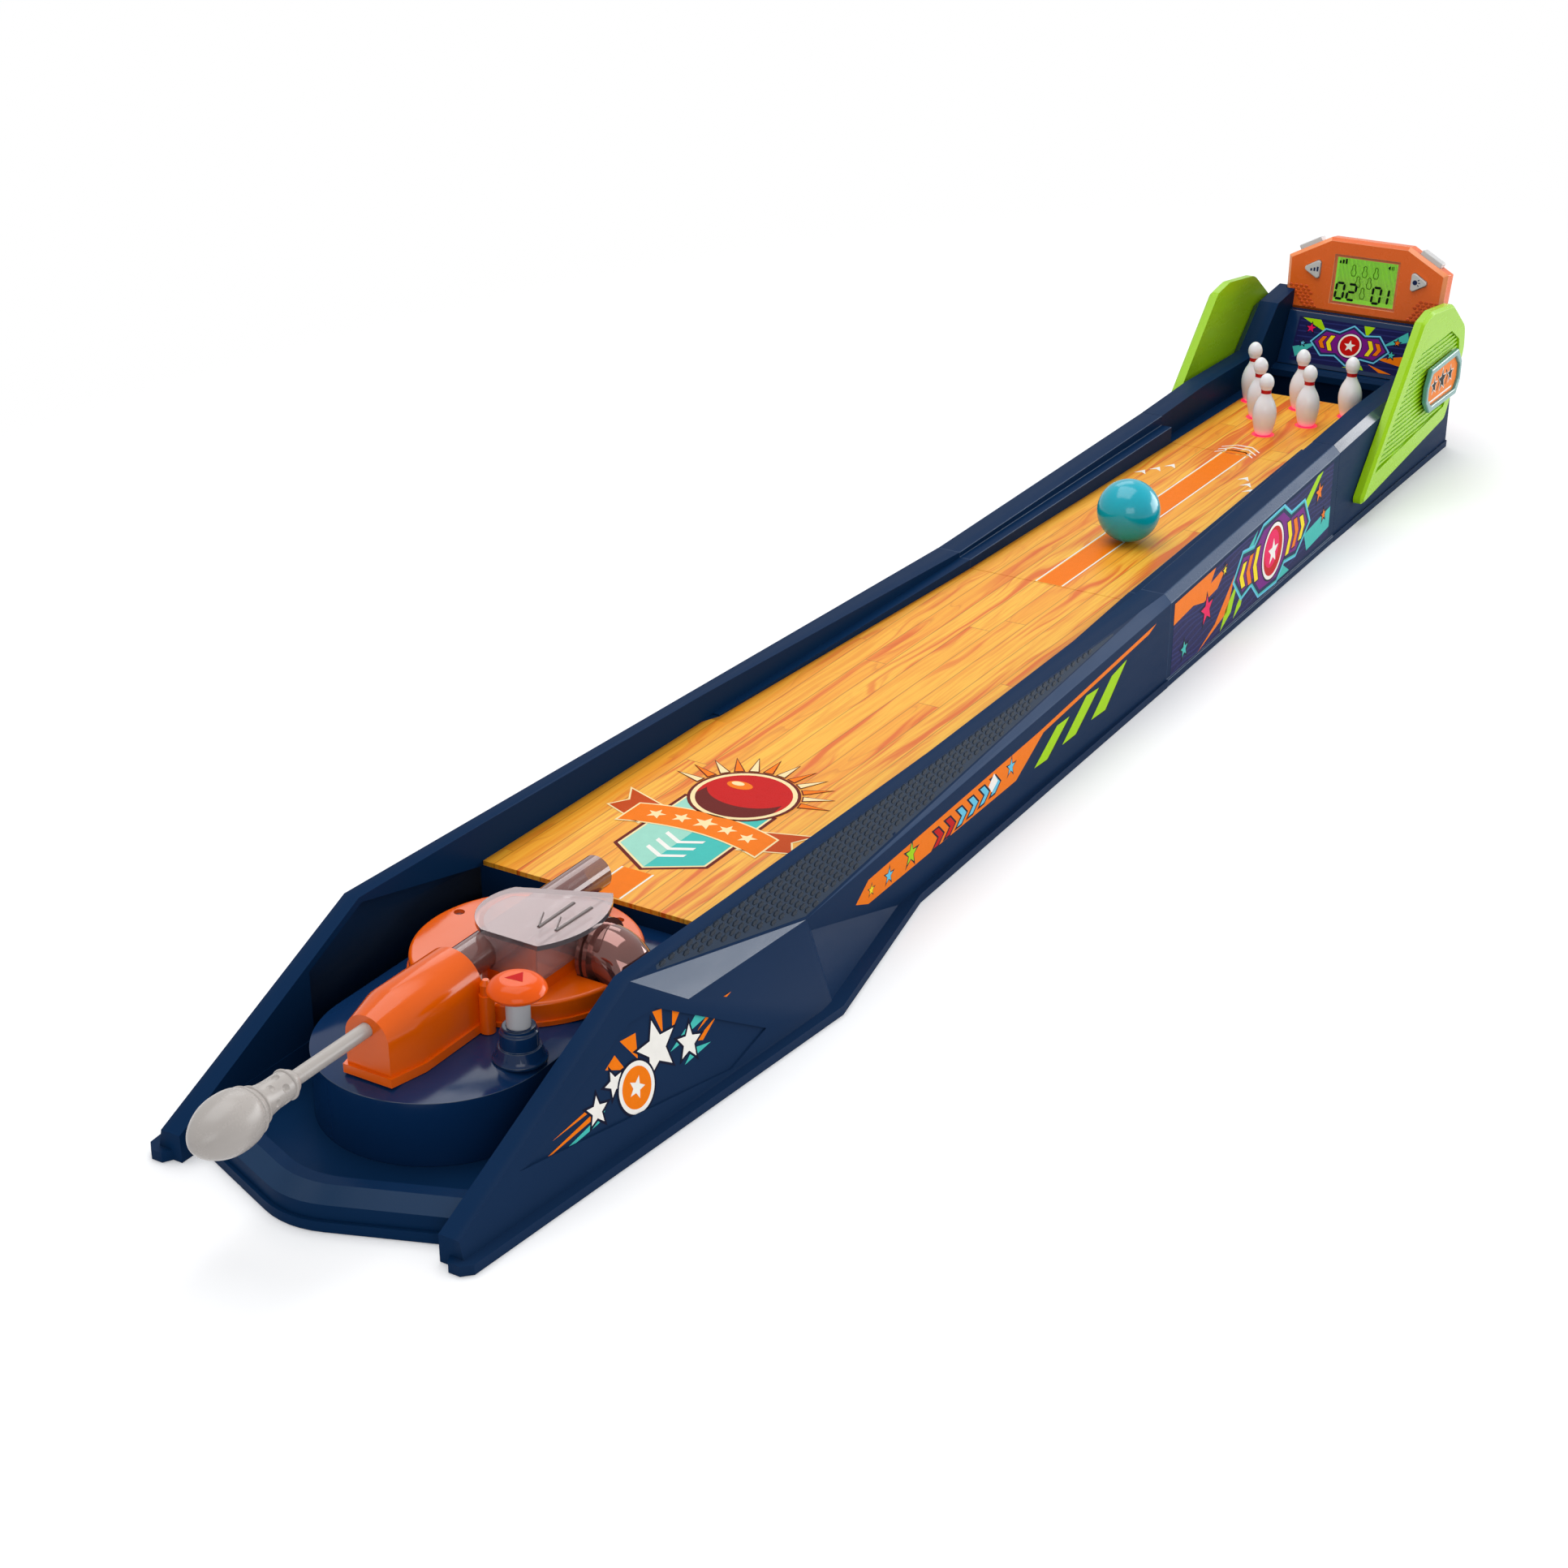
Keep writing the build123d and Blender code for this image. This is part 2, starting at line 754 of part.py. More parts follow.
def nose_body():
    """Stepped nose in front of the bay, with a sloping band up to its rim."""
    slant = (front_len - nose_side_y) / nose_side_half

    def front_edge(apex_y, half):
        """Front edge from right to left, rounded where its two sides meet."""
        points = [(half, apex_y + slant * half)]
        for k in range(nose_round_steps + 1):
            share = 1 - 2 * k / nose_round_steps
            points.append((nose_round_w * share, apex_y + slant * nose_round_w * (1 + share * share) / 2))
        return points + [(-half, apex_y + slant * half)]

    def plan(step, back_y):
        half = nose_side_half
        return [(half, -back_y)] + front_edge(-front_len + step, half) + [(-half, -back_y)]

    back_y = platform_y
    low = prism_z(plan(0, back_y), 0, lip_h)
    face = prism_z(plan(nose_step, back_y), lip_h, nose_face_z)
    ring_low = [(x, y, nose_face_z) for x, y in plan(nose_step, back_y)]
    ring_high = [(x, y, nose_rim_z) for x, y in plan(nose_step + nose_slope_w, back_y)]
    band = ring_solid([ring_low, ring_high])
    half = bay_front_half
    inner = [(half, -back_y + over)] + front_edge(-front_len + nose_rim_w, half) + [(-half, -back_y + over)]
    pocket = prism_z(inner, bay_floor_z, nose_rim_z + over)
    return low + face + band - pocket


def front_lip():
    """Lip round the foot of the launcher walls."""
    kink = bulge_kink
    end = bulge_end
    points = [(nose_side_half, -foot_y + over), (nose_side_half + lip_toe_w, -foot_y - lip_w),
              (foot_half + lip_w, -foot_y - lip_w), (foot_half + 2 * lip_w, -foot_y),
              (kink[0] + lip_w, kink[1]), (end[0] + lip_w, end[1]), (joint_1_half + lip_small_w, 0),
              (joint_1_half - skin_t, 0), (end[0] - over, end[1]), (kink[0] - 2 * over, kink[1]),
              (foot_half, -corner_y)]
    near = prism_z(points, 0, lip_h)
    return near + flip(near)


def front_section():
    near = side_wall(-foot_y, 0)
    ear = bulge()
    cutter = slope_cutter()
    walls = near + ear - cutter
    recess_points = [(-front_len + y, z) for y, z in recess_corners]
    recess = prism_x(recess_points, joint_1_half, 2 * joint_1_half)
    walls -= recess - Pos(-recess_depth, 0, 0) * ear
    inner_wall = side_wall(-foot_y + skin_t, -skin_t, skin_t, -over)
    inner_ear = Pos(-bulge_wall_t, 0, -skin_t) * ear
    hollow = inner_wall + inner_ear - Pos(0, skin_t, -skin_t) * cutter
    keep = side_wall(-foot_y + skin_t, 0, 0.0, -over)
    clear = bulge_inner_half + 2 * joint_1_half
    hollow &= keep + block((bulge_inner_half, clear), (-foot_y + skin_t, -skin_t), (-over, corner_z))
    walls -= hollow
    body = walls + flip(walls) + front_lip() + nose_body()
    floor_points = [(bay_front_half + skin_t, -nose_side_y), (bay_half + skin_t, -lane_y + skin_t)]
    body += prism_z(both_sides(floor_points), bay_floor_z - skin_t, bay_floor_z)
    under = deck(-lane_y, 0) - deck_hollow(-lane_y + skin_t, -skin_t)
    body += under
    body -= lane_slab(-lane_y - over, 0, lane_gap, deck_z, lane_z + over)
    body += rail(-notch_y + notch_len, 0)
    for rib in ribs(-lane_y, 0):
        body += rib
    for tongue in tongues(0, 0):
        body += tongue
    return body


def middle_section():
    body = trough(0, middle_len)
    body -= lane_slab(0, middle_len, lane_gap, deck_z, lane_z + over)
    body += rail(0, middle_len)
    for rib in ribs(0, middle_len):
        body += rib
    for slot in tongues(0, 1):
        body -= slot
    for tongue in tongues(middle_len, 0):
        body += tongue
    return body


def pin_section():
    start = middle_len
    body = trough(start, rear_y)
    body -= lane_slab(start, lane_end_y, lane_gap, deck_z, lane_z + over)
    pit_half = rear_inner_half
    pit = block((-pit_half, pit_half), (lane_end_y + lane_gap, pit_rear_y), (pit_floor_z, rear_z + over))
    liner = block((-pit_half - skin_t, pit_half + skin_t),
                  (lane_end_y + lane_gap - skin_t, pit_rear_y + skin_t), (pit_floor_z - skin_t, lane_z))
    body += liner
    body -= pit
    body -= lane_slab(start, lane_end_y, lane_gap, deck_z, lane_z + over)
    for rib in ribs(start, lane_end_y):
        body += rib - sensor_block(gap)
    for slot in tongues(start, 1):
        body -= slot
    wall = block((-rear_inner_half - skin_t, rear_inner_half + skin_t), (rear_y - rear_wall_t, rear_y),
                 (0, rear_wall_z))
    ledge = block((-rear_inner_half - skin_t, rear_inner_half + skin_t),
                  (panel_top_y + panel_t + gap, rear_y), (rear_wall_z - 2 * skin_t, rear_wall_z))
    beam_top = panel_low_z - gap
    beam_y = (pit_rear_y - beam_depth, pit_rear_y + skin_t)
    body += prism_x([(beam_y[0], beam_top - beam_h), (beam_y[1], beam_top - beam_h), (beam_y[1], beam_top),
                     (beam_y[0] + beam_round, beam_top), (beam_y[0], beam_top - beam_round)],
                    -pit_half - skin_t / 2, pit_half + skin_t / 2)
    sockets = on_side(fin_pegs(gap / 2))
    body -= sockets + flip(sockets)
    display = to_score(prism_y(score_plan(0), 0, score_depth + over))
    return body + wall + ledge - display


parts["front_section"] = front_section()
parts["middle_section"] = middle_section()
parts["pin_section"] = pin_section()


# Lane panels lie flush in the sections
parts["lane_front"] = lane_slab(-lane_y, -lane_gap, 0, deck_z, lane_z)
parts["lane_middle"] = lane_slab(lane_gap, middle_len - lane_gap, 0, deck_z, lane_z)


def pin_places():
    """Centres of the pins, row by row from the head pin."""
    places = []
    for row in range(pin_rows):
        for k in range(row + 1):
            places.append(((k - row / 2) * pin_spacing, head_pin_y + row * pin_row_pitch))
    return places


rear_slab = lane_slab(middle_len + lane_gap, lane_end_y, 0, deck_z, lane_z)
spots = []
for x, y in pin_places():
    rear_slab -= round_z(x, y, spot_r + lane_gap, lane_z - spot_t - lane_gap, lane_z + over)
    spots.append(round_z(x, y, spot_r, lane_z - spot_t, lane_z - run_gap))
parts["lane_rear"] = rear_slab
parts["pin_spots"] = Compound(children=spots)
parts["sensor_board"] = sensor_block(0)


# Platform under the launcher, open below on the bay floor
def platform():
    def plan(shrink, low, high):
        radius = platform_r - shrink
        drum = round_z(0, -platform_y, radius, low, high)
        return drum + block((-radius, radius), (-platform_y, -lane_y - shrink), (low, high))

    body = plan(0, bay_floor_z, platform_z - platform_bevel_h)
    cone = Cone(platform_r, platform_r - platform_bevel_w, platform_bevel_h,
                align=(Align.CENTER, Align.CENTER, Align.MIN))
    body += Pos(0, -platform_y, platform_z - platform_bevel_h) * cone
    wedge_half = platform_r
    top_half = platform_r - platform_bevel_w
    rings = [[(-wedge_half, y, platform_z - platform_bevel_h),
              (wedge_half, y, platform_z - platform_bevel_h),
              (top_half, y, platform_z), (-top_half, y, platform_z)] for y in (-platform_y, -lane_y)]
    body += ring_solid(rings)
    body -= plan(platform_t, bay_floor_z - over, platform_z - platform_bevel_h - platform_t)
    body += round_z(0, -pivot_y, pivot_r + 2 * platform_t, bay_floor_z, platform_z)
    body -= round_z(0, -pivot_y, pivot_r, pivot_low_z - gap, platform_z + over)
    well_low = post_bore_floor_z - platform_t
    body += round_z(knob_x, -knob_y, knob_shaft_r + 2 * post_well_t, well_low, platform_z - platform_bevel_h)
    body -= round_z(knob_x, -knob_y, knob_shaft_r + gap, post_bore_floor_z, platform_z + over)
    body &= plan(0, bay_floor_z, platform_z)
    return body


parts["launcher_platform"] = platform()
pivot = round_z(0, -pivot_y, pivot_r, pivot_low_z, pivot_top_z)
parts["pivot_pin"] = pivot


# Launcher housing: low round base with a long snout that holds the plunger
def arch_face(half, y):
    """Upright section of the snout: straight sides under a round top."""
    low = platform_z + gap
    lines = [Line((-half, low), (half, low)), Line((half, low), (half, snout_arch_z)),
             ThreePointArc((half, snout_arch_z), (0, snout_arch_z + half), (-half, snout_arch_z)),
             Line((-half, snout_arch_z), (-half, low))]
    return Plane((0, -y, 0), x_dir=(1, 0, 0), z_dir=(0, -1, 0)) * make_face(Curve() + lines)


def snout():
    low = platform_z + gap
    body = extrude(arch_face(snout_half, snout_rear_y), snout_shoulder_y - snout_rear_y)
    body += loft([arch_face(snout_half, snout_shoulder_y), arch_face(snout_front_half, snout_front_y)],
                 ruled=True)
    body += block((-snout_half, snout_half), (-snout_rear_y - over, -pivot_y - disc_r + 2 * over),
                  (low, disc_top_z - disc_edge_r))
    wide = snout_half + snout_foot_w
    narrow = snout_front_half + snout_foot_w
    foot = [(wide, -snout_rear_y), (wide, -snout_shoulder_y), (narrow, -snout_front_y - snout_foot_w),
            (-narrow, -snout_front_y - snout_foot_w), (-wide, -snout_shoulder_y), (-wide, -snout_rear_y)]
    body += prism_z(foot, low, low + snout_foot_h)
    body += round_z(lug_x, -lug_y, lug_r, low, lug_mid_z)
    body += round_z(lug_x, -lug_y, lug_neck_r, lug_mid_z, lug_top_z)
    tip = Cone(lug_neck_r, lug_neck_r / 2, lug_tip_z - lug_top_z,
               align=(Align.CENTER, Align.CENTER, Align.MIN))
    return body + Pos(lug_x, -lug_y, lug_top_z) * tip


def cover_plan(shrink, bulge_w):
    """Outline of the chamber cover: round at the left, bulging at the right."""
    right = cover_right_x - shrink
    front = -pivot_y - cover_front_reach + shrink
    rear = -pivot_y - cover_rear_reach - shrink
    a = (right, front)
    b = (right, rear)
    c = (-cover_left_rear_x + shrink / 2, -pivot_y - cover_left_rear_reach - shrink)
    m = (-cover_left_x + shrink, -pivot_y - cover_left_reach)
    d = (-cover_left_front_x + shrink / 2, front)
    lines = [ThreePointArc(a, (right + bulge_w, (front + rear) / 2), b), Line(b, c), ThreePointArc(c, m, d),
             Line(d, a)]
    return make_face(Curve() + lines)


def cover_prism(shrink, bulge_w, low, high):
    return Pos(0, 0, low) * extrude(cover_plan(shrink, bulge_w), high - low)


def launcher_housing():
    low = platform_z + gap
    drum = round_z(0, -pivot_y, disc_r, low, disc_top_z)
    drum = fillet(drum.edges().group_by(Axis.Z)[-1], disc_edge_r)
    body = drum + round_z(0, -pivot_y, disc_r + disc_skirt_w, low, low + disc_skirt_h)
    body += cover_prism(cover_inset, gap, disc_top_z - disc_skirt_h, chamber_pad_z)
    body += snout()
    cavity = round_z(0, -pivot_y, disc_r - disc_wall_t, low - over, disc_top_z - disc_wall_t)
    cavity -= round_z(0, -pivot_y, pivot_r + disc_wall_t, low - over, disc_top_z)
    for x, y in screw_places():
        cavity -= round_z(x, y, 2 * screw_hole_r, low - over, disc_top_z)
    body -= cavity
    wide = snout_half - disc_wall_t
    narrow = snout_front_half - disc_wall_t
    under = [(wide, -snout_rear_y + over), (wide, -snout_shoulder_y), (narrow, -snout_front_y + disc_wall_t),
             (-narrow, -snout_front_y + disc_wall_t), (-wide, -snout_shoulder_y),
             (-wide, -snout_rear_y + over)]
    body -= prism_z(under, low - over, axis_z - spring_r - 2 * gap - skin_t)
    body -= round_z(0, -pivot_y, pivot_r + run_gap, low - over, pivot_top_z + gap)
    body -= round_y(0, axis_z, rod_r + run_gap, -snout_front_y - 2 * over, -spring_seat_y + over)
    body -= round_y(0, axis_z, barrel_bore_r, -spring_seat_y, -snout_rear_y + over)
    body -= round_y(0, axis_z, barrel_r, -snout_rear_y - barrel_seat, -muzzle_y + over)
    body -= round_x(-port_y, elbow_z, spigot_r, barrel_r, 2 * disc_r)
    leg_x = elbow_ring_x + 2 * elbow_ring_t + elbow_ring_gap + elbow_bend_r
    body -= round_z(leg_x, -port_y, elbow_r + gap, low - over, axis_z)
    body -= round_x(-port_y, elbow_z, elbow_ring_r + gap, elbow_ring_x - gap, 2 * disc_r)
    for x, y in screw_places():
        body -= round_z(x, y, screw_hole_r, disc_top_z - screw_hole_depth, disc_top_z + over)
    return body


def screw_places():
    return [(screw_ring_r * math.cos(math.radians(a)), -pivot_y + screw_ring_r * math.sin(math.radians(a)))
            for a in screw_angles]


parts["launcher_housing"] = launcher_housing()
under_low = platform_z + 2 * gap
underplate = round_z(0, -pivot_y, disc_r - disc_wall_t, under_low, under_low + plate_t)
underplate -= round_z(0, -pivot_y, pivot_r + disc_wall_t, under_low - over, disc_top_z)
underplate -= round_z(elbow_ring_x + 2 * elbow_ring_t + elbow_ring_gap + elbow_bend_r, -port_y,
                      elbow_r + 2 * gap, under_low - over, disc_top_z)
underplate -= round_x(-port_y, elbow_z, elbow_ring_r + 2 * gap, elbow_ring_x - 2 * gap, 2 * disc_r)
underplate -= block((-snout_half - gap, snout_half + gap), (-snout_front_y, -snout_rear_y + over),
                    (under_low - over, disc_top_z))
screws = []
for x, y in screw_places():
    underplate -= round_z(x, y, 2 * screw_hole_r, under_low - over, disc_top_z)
    screw_low = disc_top_z - screw_hole_depth
    screws.append(round_z(x, y, screw_hole_r, screw_low, screw_low + screw_head_t))
parts["launcher_underplate"] = underplate
parts["launcher_screws"] = Compound(children=screws)


# Barrel with a loading port in its side
barrel = round_y(0, axis_z, barrel_r, -snout_rear_y - barrel_seat, -muzzle_y)
barrel -= round_y(0, axis_z, barrel_bore_r, -snout_front_y, -muzzle_y + over)
barrel -= round_x(-port_y, elbow_z, barrel_bore_r - gap, 0, 2 * barrel_r)
parts["barrel_tube"] = barrel


def chamber_cover():
    body = cover_prism(0, cover_bulge_w, cover_plate_z, cover_plate_z + cover_plate_t)
    skirt = cover_prism(cover_inset, gap, chamber_pad_z, cover_plate_z)
    skirt -= cover_prism(cover_inset + cover_wall_t, gap, chamber_pad_z - over, cover_plate_z + over)
    body += skirt
    body -= round_y(0, axis_z, barrel_r + gap / 2, -snout_front_y, -muzzle_y)
    body -= round_x(-port_y, elbow_z, spigot_r + gap / 2, 0, 2 * disc_r)
    return body


parts["chamber_cover"] = chamber_cover()


def feed_elbow():
    """Clear elbow: spigot into the barrel, double-lipped ring, and a bend that turns down."""
    ring_end = elbow_ring_x + 2 * elbow_ring_t + elbow_ring_gap
    body = round_x(-port_y, elbow_z, spigot_r, barrel_r + gap, elbow_ring_x)
    body += round_x(-port_y, elbow_z, elbow_ring_r, elbow_ring_x, elbow_ring_x + elbow_ring_t)
    body += round_x(-port_y, elbow_z, elbow_r, elbow_ring_x, ring_end)
    body += round_x(-port_y, elbow_z, elbow_ring_r, ring_end - elbow_ring_t, ring_end)
    centre = Axis((ring_end, -port_y, elbow_z - elbow_bend_r), (0, 1, 0))

    def bend(radius):
        section = Plane((ring_end, -port_y, elbow_z), x_dir=(0, 1, 0), z_dir=(1, 0, 0)) * Circle(radius)
        return revolve(section, centre, 90)

    leg_x = ring_end + elbow_bend_r
    leg_z = elbow_z - elbow_bend_r
    body += bend(elbow_r)
    body += round_z(leg_x, -port_y, elbow_r, leg_z - elbow_leg, leg_z)
    inner = elbow_r - elbow_wall_t
    body -= bend(inner)
    body -= round_z(leg_x, -port_y, inner, leg_z - elbow_leg - over, leg_z)
    body -= round_x(-port_y, elbow_z, inner, elbow_ring_x + elbow_ring_t, ring_end)
    body -= round_x(-port_y, elbow_z, barrel_bore_r, 0, ring_end)
    body -= round_y(0, axis_z, barrel_r + gap, -snout_front_y, -muzzle_y)
    return body


parts["feed_elbow"] = feed_elbow()


# Plunger
def handle():
    """Turned pull handle with beads, a dimpled sleeve and a round head."""
    points = [(handle_r * r, -handle_neck_y - handle_len * s) for s, r in handle_shares]
    edge = Spline(*points)
    profile = Curve() + [Line((0, points[0][1]), points[0]), edge, Line(points[-1], (0, points[-1][1])),
                         Line((0, points[-1][1]), (0, points[0][1]))]
    body = Pos(0, 0, axis_z) * revolve(make_face(profile), Axis.Y, 360)
    for share, radius_share in bead_shares:
        bead = Rot(90, 0, 0) * Torus(handle_r * radius_share, bead_r)
        body += Pos(0, -handle_neck_y - handle_len * share, axis_z) * bead
    table = [(s, r) for s, r in handle_shares]
    for row, share in enumerate(dimple_shares):
        reach = handle_r * along(table, share)[0] + dimple_r - dimple_depth
        for k in range(dimple_count):
            turn = 2 * math.pi * (k + row / 2) / dimple_count
            place = Pos(reach * math.sin(turn), -handle_neck_y - handle_len * share,
                        axis_z + reach * math.cos(turn))
            body -= place * Sphere(dimple_r)
    body -= round_y(0, axis_z, rod_r, -handle_neck_y - rod_in_handle, -handle_neck_y + over)
    return body


parts["plunger_handle"] = handle()
parts["plunger_rod"] = round_y(0, axis_z, rod_r, -handle_neck_y - rod_in_handle,
                               -striker_y + striker_len / 2)
striker = round_y(0, axis_z, striker_r, -striker_y, -striker_y + striker_len)
striker -= round_y(0, axis_z, rod_r, -striker_y - over, -striker_y + striker_len / 2)
parts["plunger_striker"] = striker
spring = round_y(0, axis_z, spring_r, -spring_seat_y + gap, -striker_y)
spring -= round_y(0, axis_z, spring_r - spring_wire, -spring_seat_y - over, -striker_y + over)
parts["plunger_spring"] = spring


# Push knob on its post
def turned(points, x, y):
    """Body of revolution about a vertical axis from (radius, height) points."""
    face = Plane.XZ * make_face(Polyline(*points, close=True))
    return Pos(x, y, 0) * revolve(face, Axis.Z, 360)


post_points = [(0, platform_z), (post_r, platform_z), (post_r, platform_z + post_foot_h),
               (post_r - post_lean, platform_z + 2 * post_foot_h), (post_collar_r, post_step_z),
               (post_collar_r - post_step, post_step_z), (post_neck_r + post_step, post_waist_z),
               (post_neck_r, post_waist_z + post_step),
               (post_neck_r, post_top_z - gap), (post_neck_r - gap, post_top_z), (0, post_top_z)]
post = turned(post_points, knob_x, -knob_y)
parts["knob_post"] = post - round_z(knob_x, -knob_y, knob_shaft_r + run_gap,
                                    platform_z - over, post_top_z + over)

shaft_top = knob_under_z + knob_tenon_h
knob_shaft = round_z(knob_x, -knob_y, knob_shaft_r, knob_shaft_low_z, knob_under_z)
parts["knob_shaft"] = knob_shaft + round_z(knob_x, -knob_y, knob_tenon_r, knob_under_z, shaft_top)


def knob_cap():
    edge = (knob_r, knob_edge_z)
    under = Line((0, knob_under_z), (knob_shaft_r, knob_under_z))
    lower = ThreePointArc((knob_shaft_r, knob_under_z),
                          (knob_r * knob_under_share, (knob_under_z + knob_edge_z) / 2 - gap), edge)
    flat_r = knob_r * knob_flat_share
    upper = ThreePointArc(edge, (knob_r * knob_shoulder_share, knob_top_z - skin_t / 2),
                          (flat_r, knob_top_z))
    top = Line((flat_r, knob_top_z), (0, knob_top_z))
    close = Line((0, knob_top_z), (0, knob_under_z))
    face = Plane.XZ * make_face(Curve() + [under, lower, upper, top, close])
    body = Pos(knob_x, -knob_y, 0) * revolve(face, Axis.Z, 360)
    return body - round_z(knob_x, -knob_y, knob_tenon_r, knob_under_z - over, shaft_top)


parts["knob_cap"] = knob_cap()
knob_spring = round_z(knob_x, -knob_y, knob_spring_r, post_bore_floor_z, knob_shaft_low_z)
knob_spring -= round_z(knob_x, -knob_y, knob_spring_r - knob_spring_wire, post_bore_floor_z - over,
                       knob_shaft_low_z + over)
parts["knob_spring"] = knob_spring


# Pins and ball
def pin_solid():
    head_z = pin_h - pin_crown_h
    points = [(pin_r * r, pin_h * s) for s, r in pin_profile_shares] + [(pin_head_r, head_z)]
    edge = Spline(*points, tangents=((1, 1), (0, 1)))
    crown = Bezier(points[-1], (pin_head_r, head_z + pin_crown_h / 2), (pin_head_r / 2, pin_h), (0, pin_h))
    face = make_face(Curve() + [Line((0, 0), points[0]), edge, crown, Line((0, pin_h), (0, 0))])
    return revolve(Plane.XZ * face, Axis.Z, 360)


one_pin = pin_solid()
for number, (x, y) in enumerate(pin_places(), start=1):
    parts[f"pin_{number}"] = Pos(x, y, lane_z + gap) * one_pin
parts["ball"] = Pos(ball_x, ball_y, lane_z + gap + ball_r) * Sphere(ball_r)


# Back panel that leans over the pit
panel_half = rear_inner_half - gap
parts["back_panel"] = prism_x([(pit_rear_y, panel_low_z), (pit_rear_y + panel_t, panel_low_z),
                               (panel_top_y + panel_t, panel_top_z), (panel_top_y, panel_top_z)],
                              -panel_half, panel_half)


# Score display
split_d = score_depth * score_split_share


def face_button(sign, grow, low, high):
    """Three-cornered button that points outward."""
    corners = [(sign * (face_button_x + face_button_r * math.cos(2 * math.pi * k / 3)),
                face_button_h + face_button_r * math.sin(2 * math.pi * k / 3)) for k in range(3)]
    face = make_face(FilletPolyline(*corners, radius=face_button_round, close=True))
    face = offset(face, grow) if grow else face
    return extrude(Plane((0, high, 0), x_dir=(1, 0, 0), z_dir=(0, -1, 0)) * face, high - low)


def shoulder_button(sign, grow, low, high):
    """Bar on the sloping shoulder; low and high are measured square to the slope."""
    a = Vector(score_outline_shares[2][0] * score_half, score_outline_shares[2][1] * score_h)
    b = Vector(score_outline_shares[3][0] * score_half, score_outline_shares[3][1] * score_h)
    middle = (a + b) / 2
    tilt = math.degrees(math.atan2(b.Y - a.Y, b.X - a.X)) - 180
    bar = block((-top_button_len / 2 - grow, top_button_len / 2 + grow),
                (split_d - top_button_w / 2 - grow, split_d + top_button_w / 2 + grow), (low, high))
    bar = Pos(middle.X, 0, middle.Y) * (Rot(0, -tilt, 0) * bar)
    return bar if sign > 0 else flip(bar)


def score_front():
    body = prism_y(score_plan(0), 0, split_d)
    body = chamfer(body.edges().group_by(Axis.Y)[0], score_edge)
    body -= prism_y(score_plan(score_wall_t), score_wall_t, split_d + over)
    window = block((-lcd_w / 2, lcd_w / 2), (-over, split_d), (lcd_low, lcd_low + lcd_h))
    bezel = block((-lcd_w / 2 - bezel_w, lcd_w / 2 + bezel_w), (-over, lcd_t),
                  (lcd_low - bezel_w, lcd_low + lcd_h + bezel_w))
    body -= window + bezel
    for sign in (-1, 1):
        body -= face_button(sign, gap, -over, split_d)
        body -= shoulder_button(sign, gap, -2 * score_wall_t, over)
    return body


def score_rear():
    body = prism_y(score_plan(0), split_d, score_depth)
    body = chamfer(body.edges().group_by(Axis.Y)[-1], score_edge)
    body -= prism_y(score_plan(score_wall_t), split_d - over, score_depth - score_wall_t)
    for sign in (-1, 1):
        body -= shoulder_button(sign, gap, -2 * score_wall_t, over)
        x = sign * score_screw_x
        body += round_y(x, score_screw_h, 2 * score_screw_r, split_d, score_depth - score_wall_t / 2)
        body -= round_y(x, score_screw_h, score_screw_r, split_d - over, score_depth + over)
    body -= block((-door_w / 2 - gap, door_w / 2 + gap), (score_depth - door_t - gap, score_depth + over),
                  (door_low - gap, door_low + door_h + gap))
    return body


parts["score_front"] = to_score(score_front())
parts["score_rear"] = to_score(score_rear())
parts["lcd_window"] = to_score(block((-lcd_w / 2 - bezel_w, lcd_w / 2 + bezel_w), (0, lcd_t),
                                     (lcd_low - bezel_w, lcd_low + lcd_h + bezel_w)))
parts["lcd_module"] = to_score(block((-lcd_w / 2, lcd_w / 2), (lcd_t, lcd_t + lcd_module_t),
                                     (lcd_low, lcd_low + lcd_h)))
board_front = lcd_t + lcd_module_t
board = block((-board_half, board_half), (board_front, board_front + board_t),
              (board_margin, score_h - board_margin))
parts["circuit_board"] = to_score(board)
speaker_d = board_front + board_t
parts["speaker"] = to_score(round_y(speaker_x, score_h - board_margin - speaker_r, speaker_r,
                                    speaker_d, speaker_d + speaker_t))
cells = [round_y((k - (cell_count - 1) / 2) * cell_pitch, door_low + door_h / 2, cell_r,
                 score_depth - door_t - 2 * gap - cell_t, score_depth - door_t - 2 * gap)
         for k in range(cell_count)]
parts["button_cells"] = to_score(Compound(children=cells))
parts["battery_door"] = to_score(block((-door_w / 2, door_w / 2), (score_depth - door_t, score_depth),
                                       (door_low, door_low + door_h)))
parts["score_screws"] = to_score(Compound(children=[
    round_y(sign * score_screw_x, score_screw_h, score_screw_r, score_depth - score_screw_len, score_depth)
    for sign in (-1, 1)]))
button_names = {-1: "left", 1: "right"}
for sign, side in button_names.items():
    parts[f"face_button_{side}"] = to_score(face_button(sign, 0, -face_button_lip - button_travel, button_t))
    bar_top = top_button_lip + button_travel
    parts[f"top_button_{side}"] = to_score(shoulder_button(sign, 0, -2 * score_wall_t, bar_top))


# Side fins
def fin_sketch(shares, radii):
    points = [(fin_tip_y + fin_len * y, fin_tip_z + fin_h * z) for y, z in shares]
    return make_face(FilletPolyline(*points, radius=radii, close=True))


def plaque_points(shrink):
    return [(plaque_y + (plaque_half_w - shrink) * y, plaque_z + (plaque_half_h - shrink) * z)
            for y, z in plaque_outline_shares]


